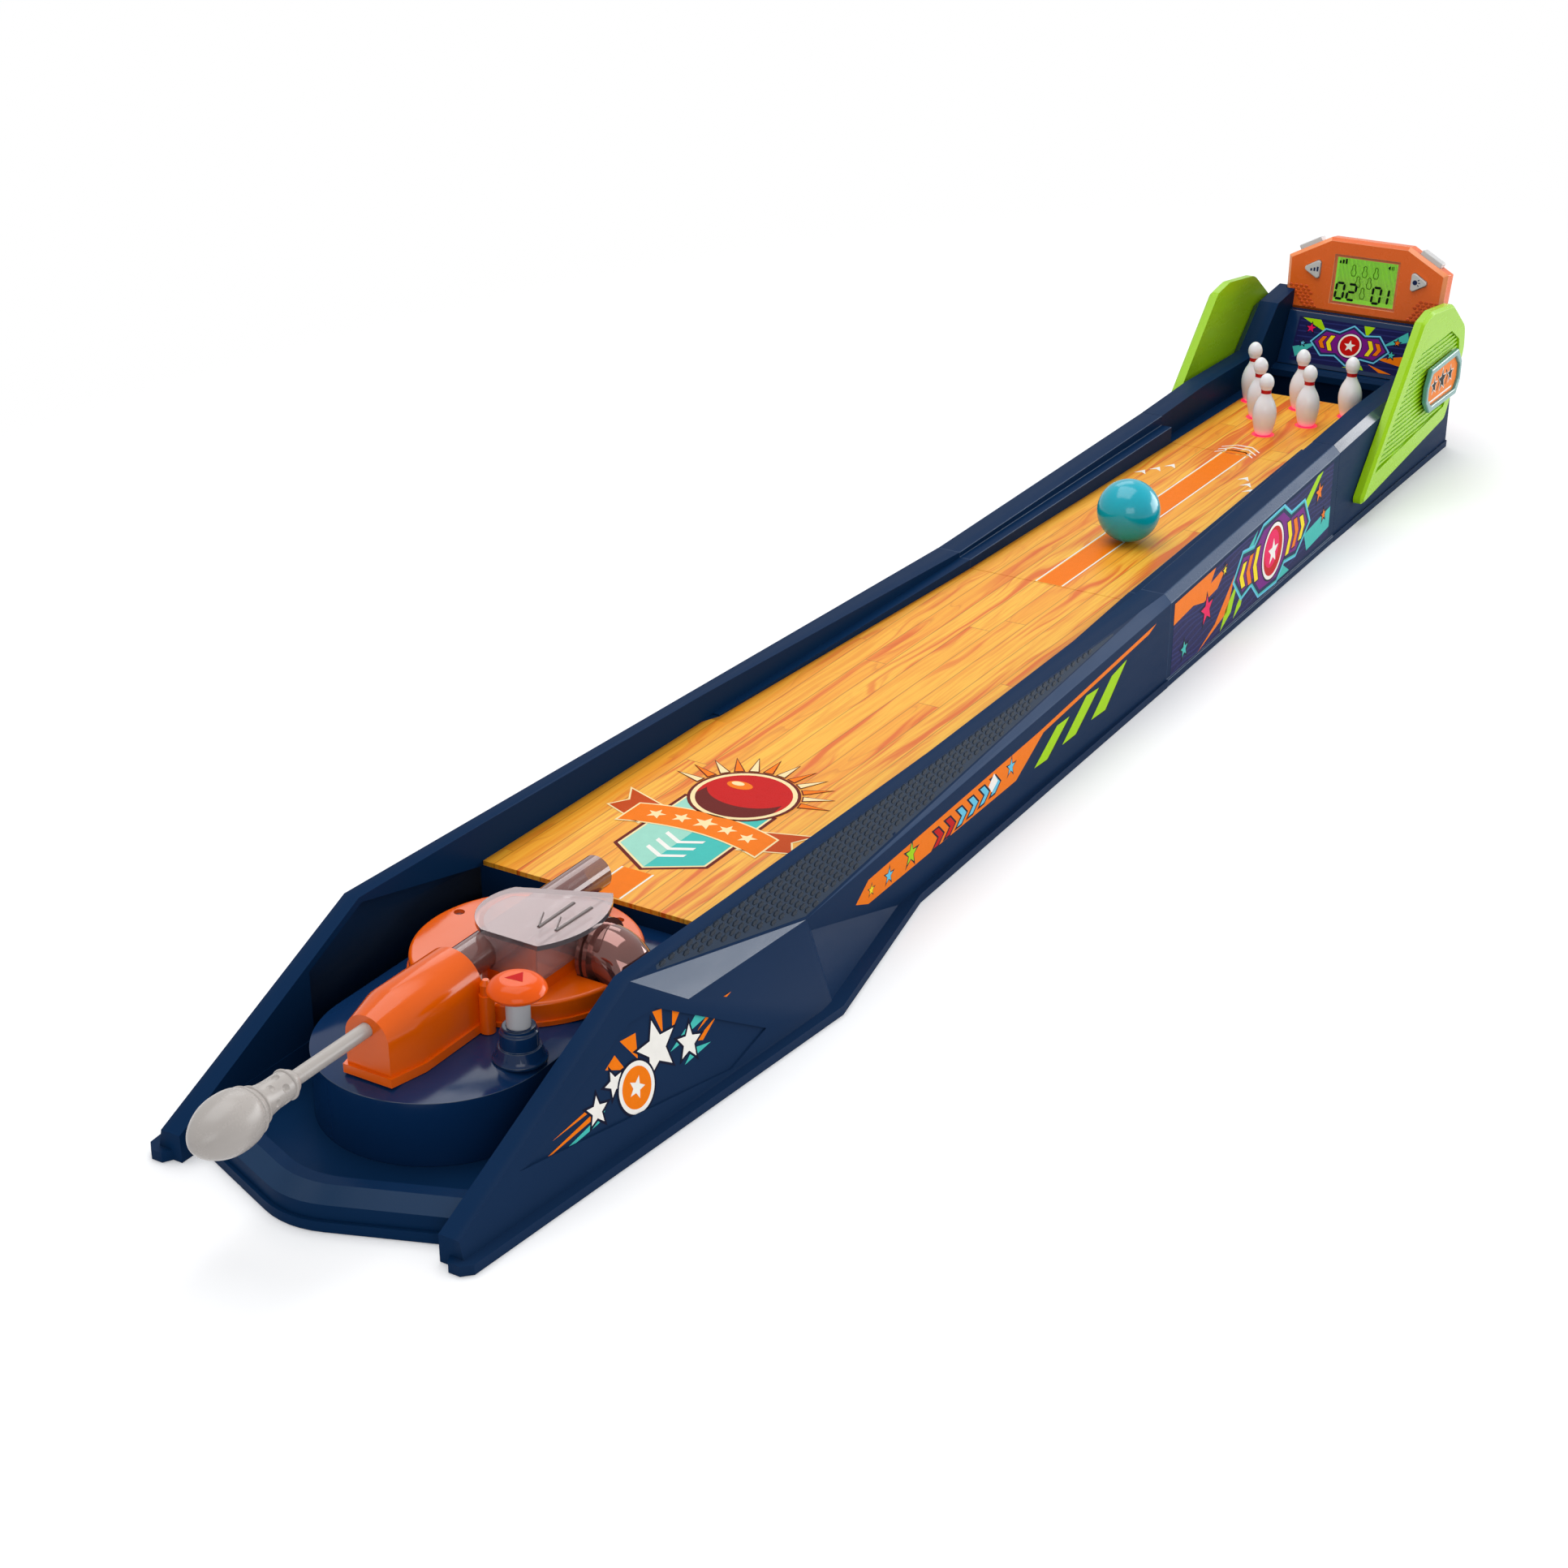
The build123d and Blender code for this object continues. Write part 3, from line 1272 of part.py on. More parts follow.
def fin():
    sketch = fin_sketch(fin_outline_shares, list(fin_corner_rs))
    plane = Plane((fin_inner_x, 0, 0), x_dir=(0, 1, 0), z_dir=(1, 0, 0))
    body = extrude(plane * sketch, fin_t)
    body = chamfer(body.faces().sort_by(Axis.X)[-1].edges(), fin_edge)
    recess_points = [(fin_tip_y + fin_len * y, fin_tip_z + fin_h * z) for y, z in fin_recess_shares]
    floor_x = fin_outer_x - fin_recess_depth
    recess = prism_x(recess_points, floor_x, fin_outer_x + over)
    grille = []
    low = min(z for y, z in recess_points)
    high = max(z for y, z in recess_points)
    count = int((high - low) // fin_rib_pitch)
    for k in range(1, count + 1):
        z = low + k * fin_rib_pitch
        grille.append(block((floor_x - gap, floor_x + fin_rib_h), (fin_tip_y, fin_tip_y + fin_len),
                            (z - fin_rib_w / 2, z + fin_rib_w / 2)))
    for rib in grille:
        recess -= rib
    body -= recess
    return body + fin_pegs(0)


near_fin = on_side(fin())
parts["fin_right"] = near_fin
parts["fin_left"] = flip(near_fin)
frame_low = fin_outer_x + run_gap
frame = prism_x(plaque_points(0), frame_low, frame_low + plaque_frame_t)
frame = on_side(frame - prism_x(plaque_points(plaque_frame_w), frame_low - over, frame_low + over))
insert = on_side(prism_x(plaque_points(plaque_frame_w), frame_low, frame_low + plaque_insert_t))
parts["plaque_frames"] = Compound(children=[frame, flip(frame)])
parts["plaque_inserts"] = Compound(children=[insert, flip(insert)])


os.makedirs("parts", exist_ok=True)
for name, shape in parts.items():
    export_step(Pos(0, -mid_y, 0) * shape, f"parts/{name}.step")
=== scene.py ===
import bpy
import bmesh
import json
import math
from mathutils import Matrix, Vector
from mathutils.bvhtree import BVHTree


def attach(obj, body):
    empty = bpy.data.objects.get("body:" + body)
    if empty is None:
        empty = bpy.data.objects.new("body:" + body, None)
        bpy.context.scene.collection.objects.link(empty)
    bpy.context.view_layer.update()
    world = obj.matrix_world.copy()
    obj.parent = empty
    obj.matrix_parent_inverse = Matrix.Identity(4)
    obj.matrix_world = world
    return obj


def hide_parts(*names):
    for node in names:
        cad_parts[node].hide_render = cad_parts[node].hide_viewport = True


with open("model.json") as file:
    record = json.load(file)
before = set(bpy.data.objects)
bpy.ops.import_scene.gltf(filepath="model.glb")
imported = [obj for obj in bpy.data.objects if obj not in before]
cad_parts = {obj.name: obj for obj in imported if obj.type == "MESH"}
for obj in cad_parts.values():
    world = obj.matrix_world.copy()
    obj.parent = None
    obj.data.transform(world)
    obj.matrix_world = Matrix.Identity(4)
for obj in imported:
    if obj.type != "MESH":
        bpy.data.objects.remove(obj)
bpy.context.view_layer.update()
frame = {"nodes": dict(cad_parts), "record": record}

# Places are written in millimetres with y = 0 at the first lane joint, while the frame is centred
SHIFT_Y = 83.2354
REAR_JOINT_Y = 240.0
LANE_Z = 41.2
X, Y, Z = Vector((1, 0, 0)), Vector((0, 1, 0)), Vector((0, 0, 1))

# How much of the white surroundings a glossy reflection shows
GLOSSY_SHARE = 0.45


def mm(x, y, z):
    return Vector((x / 1000, (y + SHIFT_Y) / 1000, z / 1000))


def flipped(v, side):
    """The vector itself for side 1, its mirror image in x for side -1."""
    return Vector((side * v.x, v.y, v.z))


def linear(r, g, b):
    """A screen colour, 0 to 255, as the shader's linear colour."""
    shares = (c / 255 for c in (r, g, b))
    return tuple(s / 12.92 if s <= 0.04 else ((s + 0.055) / 1.055) ** 2.4 for s in shares) + (1.0,)


def tone(colour, factor):
    return tuple(min(1.0, c * factor) for c in colour[:3]) + (1.0,)


# Materials
class Nodes:
    """Adds nodes to one node tree."""

    def __init__(self, tree):
        self.nodes, self.links = tree.nodes, tree.links
        self.nodes.clear()

    def put(self, socket, value):
        """Join the socket to another one, or give it a value."""
        if hasattr(value, "links"):
            self.links.new(value, socket)
        else:
            socket.default_value = value

    def math(self, op, a, b=0.0, c=0.0):
        node = self.nodes.new("ShaderNodeMath")
        node.operation = op
        for socket, value in zip(node.inputs, (a, b, c)):
            self.put(socket, value)
        return node.outputs[0]

    def add(self, a, b):
        return self.math("ADD", a, b)

    def times(self, a, b):
        return self.math("MULTIPLY", a, b)

    def seen(self):
        """1 for rays from the camera or through glass, and the glossy share for reflections."""
        path = self.nodes.new("ShaderNodeLightPath").outputs
        mirrored = self.times(path["Is Glossy Ray"], GLOSSY_SHARE)
        indirect = self.math("MAXIMUM", mirrored, path["Is Transmission Ray"])
        return self.math("MAXIMUM", path["Is Camera Ray"], indirect)


class Tree(Nodes):
    """Builds one material around a principled shader."""

    def __init__(self, name):
        self.mat = bpy.data.materials.new(name)
        self.mat.use_nodes = True
        super().__init__(self.mat.node_tree)
        out = self.nodes.new("ShaderNodeOutputMaterial")
        self.bsdf = self.nodes.new("ShaderNodeBsdfPrincipled")
        self.put(out.inputs["Surface"], self.bsdf.outputs[0])
        self.place = self.nodes.new("ShaderNodeTexCoord").outputs["Object"]

    def set(self, **values):
        for name, value in values.items():
            self.put(self.bsdf.inputs[name.replace("_", " ")], value)

    def ramp(self, value, low, high, to_low=0.0, to_high=1.0):
        node = self.nodes.new("ShaderNodeMapRange")
        node.interpolation_type = "SMOOTHSTEP"
        names = ("Value", "From Min", "From Max", "To Min", "To Max")
        for name, number in zip(names, (value, low, high, to_low, to_high)):
            self.put(node.inputs[name], number)
        return node.outputs["Result"]

    def mix(self, factor, a, b):
        node = self.nodes.new("ShaderNodeMix")
        node.data_type = "RGBA"
        # The colour version of this node has its factor at 0, its colours at 6 and 7 and its result at 2
        for index, value in ((0, factor), (6, a), (7, b)):
            self.put(node.inputs[index], value)
        return node.outputs[2]

    def tint(self, colour, amount, rgb):
        return self.mix(amount, colour, linear(*rgb))

    def scaled(self, scale):
        node = self.nodes.new("ShaderNodeMapping")
        self.put(node.inputs["Vector"], self.place)
        self.put(node.inputs["Scale"], scale)
        return node.outputs[0]

    def vector(self, x, y, z):
        node = self.nodes.new("ShaderNodeCombineXYZ")
        for socket, value in zip(node.inputs, (x, y, z)):
            self.put(socket, value)
        return node.outputs[0]

    def xyz(self):
        node = self.nodes.new("ShaderNodeSeparateXYZ")
        self.put(node.inputs[0], self.place)
        return node.outputs

    def noise(self, vector, scale=1.0, detail=3.0, rough=0.5, distortion=0.0):
        node = self.nodes.new("ShaderNodeTexNoise")
        names = ("Vector", "Scale", "Detail", "Roughness", "Distortion")
        for name, value in zip(names, (vector, scale, detail, rough, distortion)):
            self.put(node.inputs[name], value)
        return node.outputs["Fac"]

    def lot(self, dimensions, socket, key):
        """A random number that is the same wherever the key is the same."""
        node = self.nodes.new("ShaderNodeTexWhiteNoise")
        node.noise_dimensions = dimensions
        self.put(node.inputs[socket], key)
        return node.outputs["Value"]

    def bump(self, height, strength, distance):
        node = self.nodes.new("ShaderNodeBump")
        for name, value in (("Height", height), ("Strength", strength), ("Distance", distance)):
            self.put(node.inputs[name], value)
        return node.outputs[0]


SKIN_DEPTH = 0.00003
# Half width of the trough's inside at the frame's middle, and its change per metre along the lane
INSIDE_HALF, INSIDE_TAPER = 0.0573, -0.0155


def plastic(name, rgb, rough=0.24, vary=0.05, grain=900, bump=0.04, coat=0.0, shine=0.5, inner=None):
    """Moulded plastic: slow colour drift, fine skin texture and scuffed gloss; inner gives the inside of the
    trough a deeper tone as painted shade.
    """
    t = Tree(name)
    base = linear(*rgb)
    slow = t.noise(t.place, scale=30, detail=2)
    colour = t.mix(slow, tone(base, 1 - vary), tone(base, 1 + vary))
    if inner is not None:
        # Painted shade: the inside of the trough is drawn in a deeper tone than the outside
        x, y, z = t.xyz()
        edge = t.math("MULTIPLY_ADD", y, INSIDE_TAPER, INSIDE_HALF)
        inside = t.ramp(t.math("SUBTRACT", edge, t.math("ABSOLUTE", x)), -0.001, 0.0025)
        colour = t.tint(colour, inside, inner)
    fine = t.noise(t.place, scale=grain, detail=2)
    scuff = t.noise(t.scaled((60, 12, 60)), scale=3)
    gloss = t.add(t.ramp(scuff, 0.35, 0.75, rough - 0.02, rough + 0.04),
                  t.ramp(fine, 0.3, 0.7, -0.015, 0.015))
    t.set(Base_Color=colour, Roughness=gloss, Normal=t.bump(fine, bump, SKIN_DEPTH))
    t.set(IOR=1.48, Specular_IOR_Level=shine, Coat_Weight=coat, Coat_Roughness=0.08)
    return t.mat


def ink(name, rgb):
    """Screen-printed ink: slight mottling and dot grain."""
    t = Tree(name)
    base = linear(*rgb)
    mottle = t.noise(t.place, scale=260, detail=4, rough=0.6)
    dots = t.noise(t.place, scale=2600, detail=1)
    colour = t.mix(mottle, tone(base, 0.93), tone(base, 1.06))
    t.set(Base_Color=colour, Roughness=t.ramp(dots, 0.3, 0.7, 0.27, 0.38))
    t.set(Normal=t.bump(dots, 0.04, SKIN_DEPTH), IOR=1.45, Specular_IOR_Level=0.05)
    return t.mat


def clear(name, rgb, rough, alpha_low, alpha_high, metallic=0.0):
    """Tinted clear plastic, denser at grazing angles, with faint flow marks."""
    t = Tree(name)
    base = linear(*rgb)
    flow = t.noise(t.scaled((60, 22, 60)), scale=3, distortion=0.6)
    colour = t.mix(flow, tone(base, 0.85), tone(base, 1.15))
    facing = t.nodes.new("ShaderNodeLayerWeight")
    t.put(facing.inputs["Blend"], 0.4)
    alpha = t.ramp(facing.outputs["Facing"], 0.0, 0.9, alpha_low, alpha_high)
    t.set(Base_Color=colour, Alpha=alpha, Roughness=t.ramp(flow, 0.3, 0.7, rough, rough + 0.04))
    t.set(Normal=t.bump(flow, 0.06, 0.0001), IOR=1.6, Metallic=metallic, Coat_Weight=1.0, Coat_Roughness=0.03)
    return t.mat


def metal(name, rgb, rough):
    """Drawn metal with fine marks along its length."""
    t = Tree(name)
    base = linear(*rgb)
    brushed = t.noise(t.scaled((700, 40, 700)), scale=2)
    t.set(Base_Color=t.mix(brushed, tone(base, 0.85), tone(base, 1.1)), Metallic=1.0)
    t.set(Roughness=t.ramp(brushed, 0.3, 0.7, rough - 0.06, rough + 0.08))
    t.set(Normal=t.bump(brushed, 0.1, 0.00004))
    return t.mat


def glowing(name, rgb, strength, rough):
    """Lit panel or tinted disc with a slow unevenness in its light."""
    t = Tree(name)
    uneven = t.noise(t.place, scale=120, detail=2)
    colour = t.mix(uneven, tone(linear(*rgb), 0.94), tone(linear(*rgb), 1.05))
    t.set(Base_Color=colour, Emission_Color=colour, Emission_Strength=strength, Roughness=rough)
    return t.mat


PLANK_WIDTH, BOARD_LENGTH = 0.0112, 0.42


def wood(name, *edge):
    """Printed planks under a clear film; edge has the ends of the lane's straight runs, y and half width."""
    t = Tree(name)
    x, y, z = t.xyz()
    wobble = t.times(t.noise(t.vector(0.0, t.times(y, 9.0), 0.0), detail=1), 0.0006)
    across = t.math("DIVIDE", t.add(t.add(x, 0.5), wobble), PLANK_WIDTH)
    plank, plank_part = t.math("FLOOR", across), t.math("FRACT", across)
    # Long boards end at staggered places along the lane
    along = t.add(t.math("DIVIDE", y, BOARD_LENGTH), t.times(t.lot("1D", "W", plank), 7.3))
    board, board_part = t.math("FLOOR", along), t.math("FRACT", along)
    shade = t.lot("2D", "Vector", t.vector(plank, board, 0.0))
    # Grain drawn out along the boards, with slow arches
    bend = t.noise(t.vector(t.times(x, 55.0), t.times(y, 9.0), t.times(shade, 31.0)), detail=2)
    warp = t.times(t.math("SUBTRACT", bend, 0.5), 3.2)

    def drawn(x_scale, y_scale, spread):
        return t.vector(t.add(t.times(x, x_scale), warp), t.times(y, y_scale), t.times(shade, spread))

    fine = t.noise(drawn(620.0, 16.0, 57.0), detail=5, rough=0.62)
    streak = t.noise(drawn(150.0, 5.5, 83.0), rough=0.55, distortion=0.8)
    arch = t.math("FRACT", t.add(t.times(bend, 6.0), t.times(x, 110.0)))
    arch_line = t.times(t.ramp(arch, 0.0, 0.16, 1.0, 0.0), t.ramp(shade, 0.45, 0.7))
    colour = t.mix(t.ramp(fine, 0.36, 0.66), linear(238, 158, 36), linear(252, 196, 66))
    colour = t.tint(colour, t.times(t.ramp(shade, 0.25, 0.9), 0.45), (238, 142, 26))
    colour = t.tint(colour, t.times(t.ramp(streak, 0.5, 0.66), 0.92), (222, 96, 14))
    colour = t.tint(colour, t.times(t.ramp(fine, 0.56, 0.72), 0.42), (206, 104, 20))
    colour = t.tint(colour, t.times(arch_line, 0.3), (196, 96, 24))
    seam = t.math("MAXIMUM", t.ramp(plank_part, 0.0, 0.045, 1.0, 0.0), t.ramp(plank_part, 0.965, 1.0))
    butt = t.math("MAXIMUM", t.ramp(board_part, 0.0, 0.0011, 1.0, 0.0), t.ramp(board_part, 0.999, 1.0))
    line = t.math("MAXIMUM", seam, butt)
    colour = t.tint(colour, t.times(line, 0.62), (150, 74, 16))

    def half_width(start, end):
        (y0, h0), (y1, h1) = start, end
        slope = (h1 - h0) / (y1 - y0)
        return t.math("MULTIPLY_ADD", y, slope, h0 - y0 * slope)

    # Darker towards both edges of the lane
    edge = [((place + SHIFT_Y) / 1000, half / 1000) for place, half in edge]
    half = half_width(*edge[:2])
    if len(edge) > 2:
        beyond = t.math("GREATER_THAN", y, edge[2][0])
        half = t.add(t.times(half, t.math("SUBTRACT", 1.0, beyond)), t.times(half_width(*edge[2:]), beyond))
    rim = t.math("SUBTRACT", half, t.math("ABSOLUTE", x))
    colour = t.tint(colour, t.ramp(rim, 0.0, 0.009, 0.7, 0.0), (188, 126, 22))
    colour = t.tint(colour, t.ramp(rim, 0.0, 0.0022, 0.5, 0.0), (120, 70, 14))
    t.set(Base_Color=colour, Roughness=t.ramp(fine, 0.3, 0.7, 0.36, 0.44))
    t.set(Normal=t.bump(t.add(fine, t.times(line, -1.0)), 0.1, 0.00004), IOR=1.45)
    t.set(Specular_IOR_Level=0.2, Coat_Weight=0.08, Coat_Roughness=0.12)
    return t.mat


PIN_FOOT_Z = LANE_Z + 0.3


def pin_paint(name):
    """White moulded pin with a red neck band and a pink glow from the lit spot under it."""
    t = Tree(name)
    x, y, z = t.xyz()
    height = t.times(t.math("SUBTRACT", z, PIN_FOOT_Z / 1000), 1000.0)
    slow = t.noise(t.place, scale=90, detail=2)
    white = t.mix(slow, linear(238, 238, 240), linear(248, 248, 249))
    band = t.times(t.ramp(height, 24.35, 24.5), t.ramp(height, 26.6, 26.75, 1.0, 0.0))
    glow = t.ramp(height, 0.0, 8.0, 1.0, 0.0)
    colour = t.tint(white, band, (196, 14, 22))
    colour = t.tint(colour, t.times(glow, 0.35), (255, 150, 175))
    t.set(Base_Color=colour, Roughness=t.ramp(slow, 0.3, 0.7, 0.2, 0.27))
    t.set(Normal=t.bump(t.noise(t.place, scale=1500, detail=1), 0.05, SKIN_DEPTH))
    t.set(Emission_Color=linear(255, 110, 150), Emission_Strength=t.times(t.math("POWER", glow, 2.6), 0.34))
    t.set(Subsurface_Weight=0.08, Subsurface_Scale=0.002)
    return t.mat


# The inner colour of navy is painted shade inside the trough
NAVY = plastic("navy", (22, 45, 76), rough=0.34, grain=800, bump=0.03, shine=0.02, inner=(12, 42, 76))
NAVY_EDGE = plastic("navy_edge", (26, 50, 78), rough=0.16, grain=800, bump=0.02, shine=0.6)
NAVY_DEEP = plastic("navy_deep", (12, 44, 84), rough=0.14, grain=800, bump=0.03, shine=0.35)
# Painted reflection: lighter navy for the large facet of each bulge, over its real gloss
NAVY_PAINTED_REFLECTION = plastic("navy_painted_reflection", (50, 74, 104), rough=0.14, grain=800, bump=0.02, coat=0.7, shine=1.0)
# Painted sheen: lighter navy for the strips along the wall tops and the moulded edges of the front and middle
# sections
NAVY_PAINTED_SHEEN = plastic("navy_painted_sheen", (46, 68, 100), rough=0.4, grain=800, bump=0.02, shine=0.04)
NAVY_PAINTED_SHEEN_REAR = plastic("navy_painted_sheen_rear", (52, 74, 104), rough=0.26, grain=800, bump=0.02, shine=0.12)
NAVY_SLOPE = plastic("navy_slope", (28, 54, 84), rough=0.32, grain=800, bump=0.03, shine=0.1)
NAVY_DARK = plastic("navy_dark", (14, 30, 46), rough=0.3, vary=0.08, grain=700, bump=0.06, shine=0.2)
NAVY_PANEL = plastic("navy_panel", (38, 54, 74), rough=0.4, vary=0.06, grain=1100, bump=0.1, shine=0.1)
ORANGE = plastic("orange", (232, 94, 2), rough=0.14, vary=0.04, bump=0.03, shine=0.4)
ORANGE_SCORE = plastic("orange_score", (240, 106, 34), rough=0.26, vary=0.04, bump=0.05, shine=0.3)
# Painted highlight: paler orange for the display's bevels and edges
ORANGE_PAINTED_HIGHLIGHT = plastic("orange_painted_highlight", (255, 150, 92), rough=0.2, vary=0.04, bump=0.03)
ORANGE_PRINT = plastic("orange_print", (236, 126, 26), rough=0.4, vary=0.06, bump=0.03, shine=0.1)
ORANGE_KNOB = plastic("orange_knob", (236, 88, 10), rough=0.12, vary=0.03, bump=0.02, shine=0.2)
ORANGE_DEEP = plastic("orange_deep", (214, 84, 26), rough=0.36, vary=0.08, bump=0.1, shine=0.3)
LIME = plastic("lime", (158, 210, 14), rough=0.26, vary=0.04, shine=0.25)
TEAL = plastic("teal", (92, 152, 144), rough=0.16, vary=0.06, coat=0.3)
GREY = plastic("grey_plastic", (178, 171, 165), rough=0.26, vary=0.04, grain=1200, shine=0.4)
GREY_BUTTON = plastic("grey_button", (208, 206, 204), rough=0.3, vary=0.04, grain=1200, bump=0.05, shine=0.3)
SHAFT = plastic("shaft", (180, 181, 184), rough=0.2, vary=0.04, grain=1200, bump=0.03)
BOARD = plastic("board", (20, 84, 50), rough=0.5, vary=0.15, grain=1500, bump=0.2)
BALL = plastic("ball_blue", (0, 172, 192), rough=0.2, vary=0.04, grain=1200, bump=0.02, coat=0.3, shine=0.4)
TICK = plastic("tick", (96, 82, 80), rough=0.2, vary=0.1, bump=0.1)
STEEL = metal("steel", (176, 178, 184), rough=0.32)
SMOKE = clear("smoke", (132, 86, 80), rough=0.06, alpha_low=0.62, alpha_high=0.97)
SMOKE_ELBOW = clear("smoke_elbow", (138, 88, 80), rough=0.05, alpha_low=0.84, alpha_high=1.0, metallic=0.6)
COVER = clear("cover", (178, 148, 148), rough=0.08, alpha_low=0.26, alpha_high=0.82)
COVER_EDGE = clear("cover_edge", (84, 80, 84), rough=0.08, alpha_low=0.9, alpha_high=1.0)
WINDOW = clear("window", (214, 235, 214), rough=0.06, alpha_low=0.06, alpha_high=0.3)
SCREEN = glowing("screen", (142, 206, 24), strength=0.35, rough=0.35)
SPOT = glowing("spot", (232, 34, 78), strength=0.75, rough=0.3)
PIN = pin_paint("pin_paint")

INKS = {name: ink("ink_" + name, rgb) for name, rgb in {
    "white": (244, 240, 232), "cream": (250, 226, 170), "orange": (244, 122, 8), "deep_orange": (196, 72, 10),
    "red": (200, 16, 14), "dark_red": (104, 22, 14), "teal": (70, 190, 180), "pale_teal": (158, 216, 196),
    "blue": (104, 196, 226), "lime": (166, 214, 8), "yellow": (250, 222, 30), "pink": (236, 22, 92),
    "purple": (118, 24, 128), "night": (26, 28, 78), "night_light": (40, 46, 104), "outline": (18, 22, 46),
    "black": (18, 24, 22), "lcd_grey": (40, 78, 16), "slate": (30, 44, 84),
}.items()}


# Mesh helpers
def mesh_object(name, bm, mats, smooth=False):
    mesh = bpy.data.meshes.new(name)
    bm.to_mesh(mesh)
    bm.free()
    for mat in mats:
        mesh.materials.append(mat)
    if smooth:
        mesh.polygons.foreach_set("use_smooth", [True] * len(mesh.polygons))
    obj = bpy.data.objects.new(name, mesh)
    bpy.context.scene.collection.objects.link(obj)
    return obj


def apply_modifiers(obj):
    bpy.context.view_layer.update()
    graph = bpy.context.evaluated_depsgraph_get()
    mesh = bpy.data.meshes.new_from_object(obj.evaluated_get(graph))
    obj.modifiers.clear()
    obj.data = mesh


WELD = 0.000002
UNDERSIDE_Z = 0.0005
FLAT_ANGLE = math.radians(0.6)


def cad_bmesh(node):
    """The node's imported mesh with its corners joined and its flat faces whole, but for the underside's."""
    source = frame["nodes"][node].data
    bm = bmesh.new()
    verts = [bm.verts.new(v.co) for v in source.vertices]
    for poly in source.polygons:
        try:
            bm.faces.new([verts[i] for i in poly.vertices])
        except ValueError:  # the same face a second time
            pass
    bmesh.ops.remove_doubles(bm, verts=bm.verts, dist=WELD)
    bmesh.ops.dissolve_limit(bm, angle_limit=FLAT_ANGLE, use_dissolve_boundaries=False,
                             verts=[v for v in bm.verts if v.co.z > UNDERSIDE_Z],
                             edges=[e for e in bm.edges if max(v.co.z for v in e.verts) > UNDERSIDE_Z])
    return bm


def node_body(node):
    for body, nodes in frame["record"]["behaviour"]["bodies"].items():
        if node in nodes:
            return body
    raise ValueError(node)


def refined(node, mat, width=0.0004, segments=2, angle=28, edge=None, polished=None, more=()):
    """The node's own shape with rounded moulding edges; it stands for the node.

    The edges and the faces that polished picks take the edge material; more has those of higher slots. Where
    the edge material is a lighter copy, it paints a sheen on those faces and edges.
    """
    bm = cad_bmesh(node)
    if polished is not None:
        bm.normal_update()
        for face in bm.faces:
            face.material_index = int(polished(face))
    mats = [mat] if edge is None else [mat, edge, *more]
    obj = mesh_object("look_" + node, bm, mats, smooth=True)
    bevel = obj.modifiers.new("edges", "BEVEL")
    bevel.width = width
    bevel.segments = segments
    bevel.limit_method = "ANGLE"
    bevel.angle_limit = math.radians(angle)
    bevel.harden_normals = True
    bevel.use_clamp_overlap = True
    bevel.miter_outer = "MITER_ARC"
    if edge is not None:
        bevel.material = 1
    apply_modifiers(obj)
    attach(obj, node_body(node))
    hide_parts(node)


def paint(mat, *nodes):
    for node in nodes:
        data = frame["nodes"][node].data
        data.materials.clear()
        data.materials.append(mat)


def surface(node):
    bm = bmesh.new()
    bm.from_mesh(frame["nodes"][node].data)
    tree = BVHTree.FromBMesh(bm)
    bm.free()
    return tree


def onto_side(tree, x, y, z):
    """Where a ray from x inward meets the right-hand side, and the normal there."""
    return tree.ray_cast(mm(x, y, z), -X, 0.3)[:2]


def raised_hexagon(bm, place, along, up, out, foot, top, corner, height):
    """A low six-sided stud; foot and top are its half sizes, corner the share where its ends begin."""
    corners = ((1.0, 0.0), (corner, 1.0), (-corner, 1.0), (-1.0, 0.0), (-corner, -1.0), (corner, -1.0))
    low, high = ([bm.verts.new(place + (along * (p * a) + up * (q * b) + out * level) / 1000)
                  for p, q in corners] for (a, b), level in ((foot, 0.02), (top, 0.02 + height)))
    for k in range(6):
        bm.faces.new([low[k], low[(k + 1) % 6], high[(k + 1) % 6], high[k]])
    bm.faces.new(high)


# Flat shapes for prints, in millimetres
def rect(x0, y0, x1, y1):
    return [(x0, y0), (x1, y0), (x1, y1), (x0, y1)]


def polar(x, y, r, turn, squash=1.0):
    a = math.radians(turn)
    return (x + r * math.cos(a), y + r * squash * math.sin(a))


def star(x, y, r, inner=0.42, turn=90.0, count=5):
    return [polar(x, y, r * inner if k % 2 else r, turn + 180 * k / count) for k in range(2 * count)]


def disc(x, y, r, count=40, squash=1.0):
    return [polar(x, y, r, 360 * k / count, squash) for k in range(count)]


def oblong(start, end, half):
    """A straight bar from start to end, half its width to each side."""
    (a, b), (c, d) = start, end
    along = Vector((c - a, d - b)).normalized()
    n = Vector((-along.y, along.x)) * half
    return [(a + n.x, b + n.y), (c + n.x, d + n.y), (c - n.x, d - n.y), (a - n.x, b - n.y)]


def chevron(x, y, point, thick, below, above):
    """An arrowhead line whose ends stand at x and whose tip reaches point further."""
    return [(x, y - below), (x + point, y), (x, y + above),
            (x + thick, y + above), (x + point + thick, y), (x + thick, y - below)]


def wing(x, y, side, half, notch, shoulder, tip):
    """A pointed plate that faces outward from x."""
    return [(x, y - half), (x + side * shoulder, y - half), (x + side * tip, y),
            (x + side * shoulder, y + half), (x, y + half), (x + side * notch, y)]


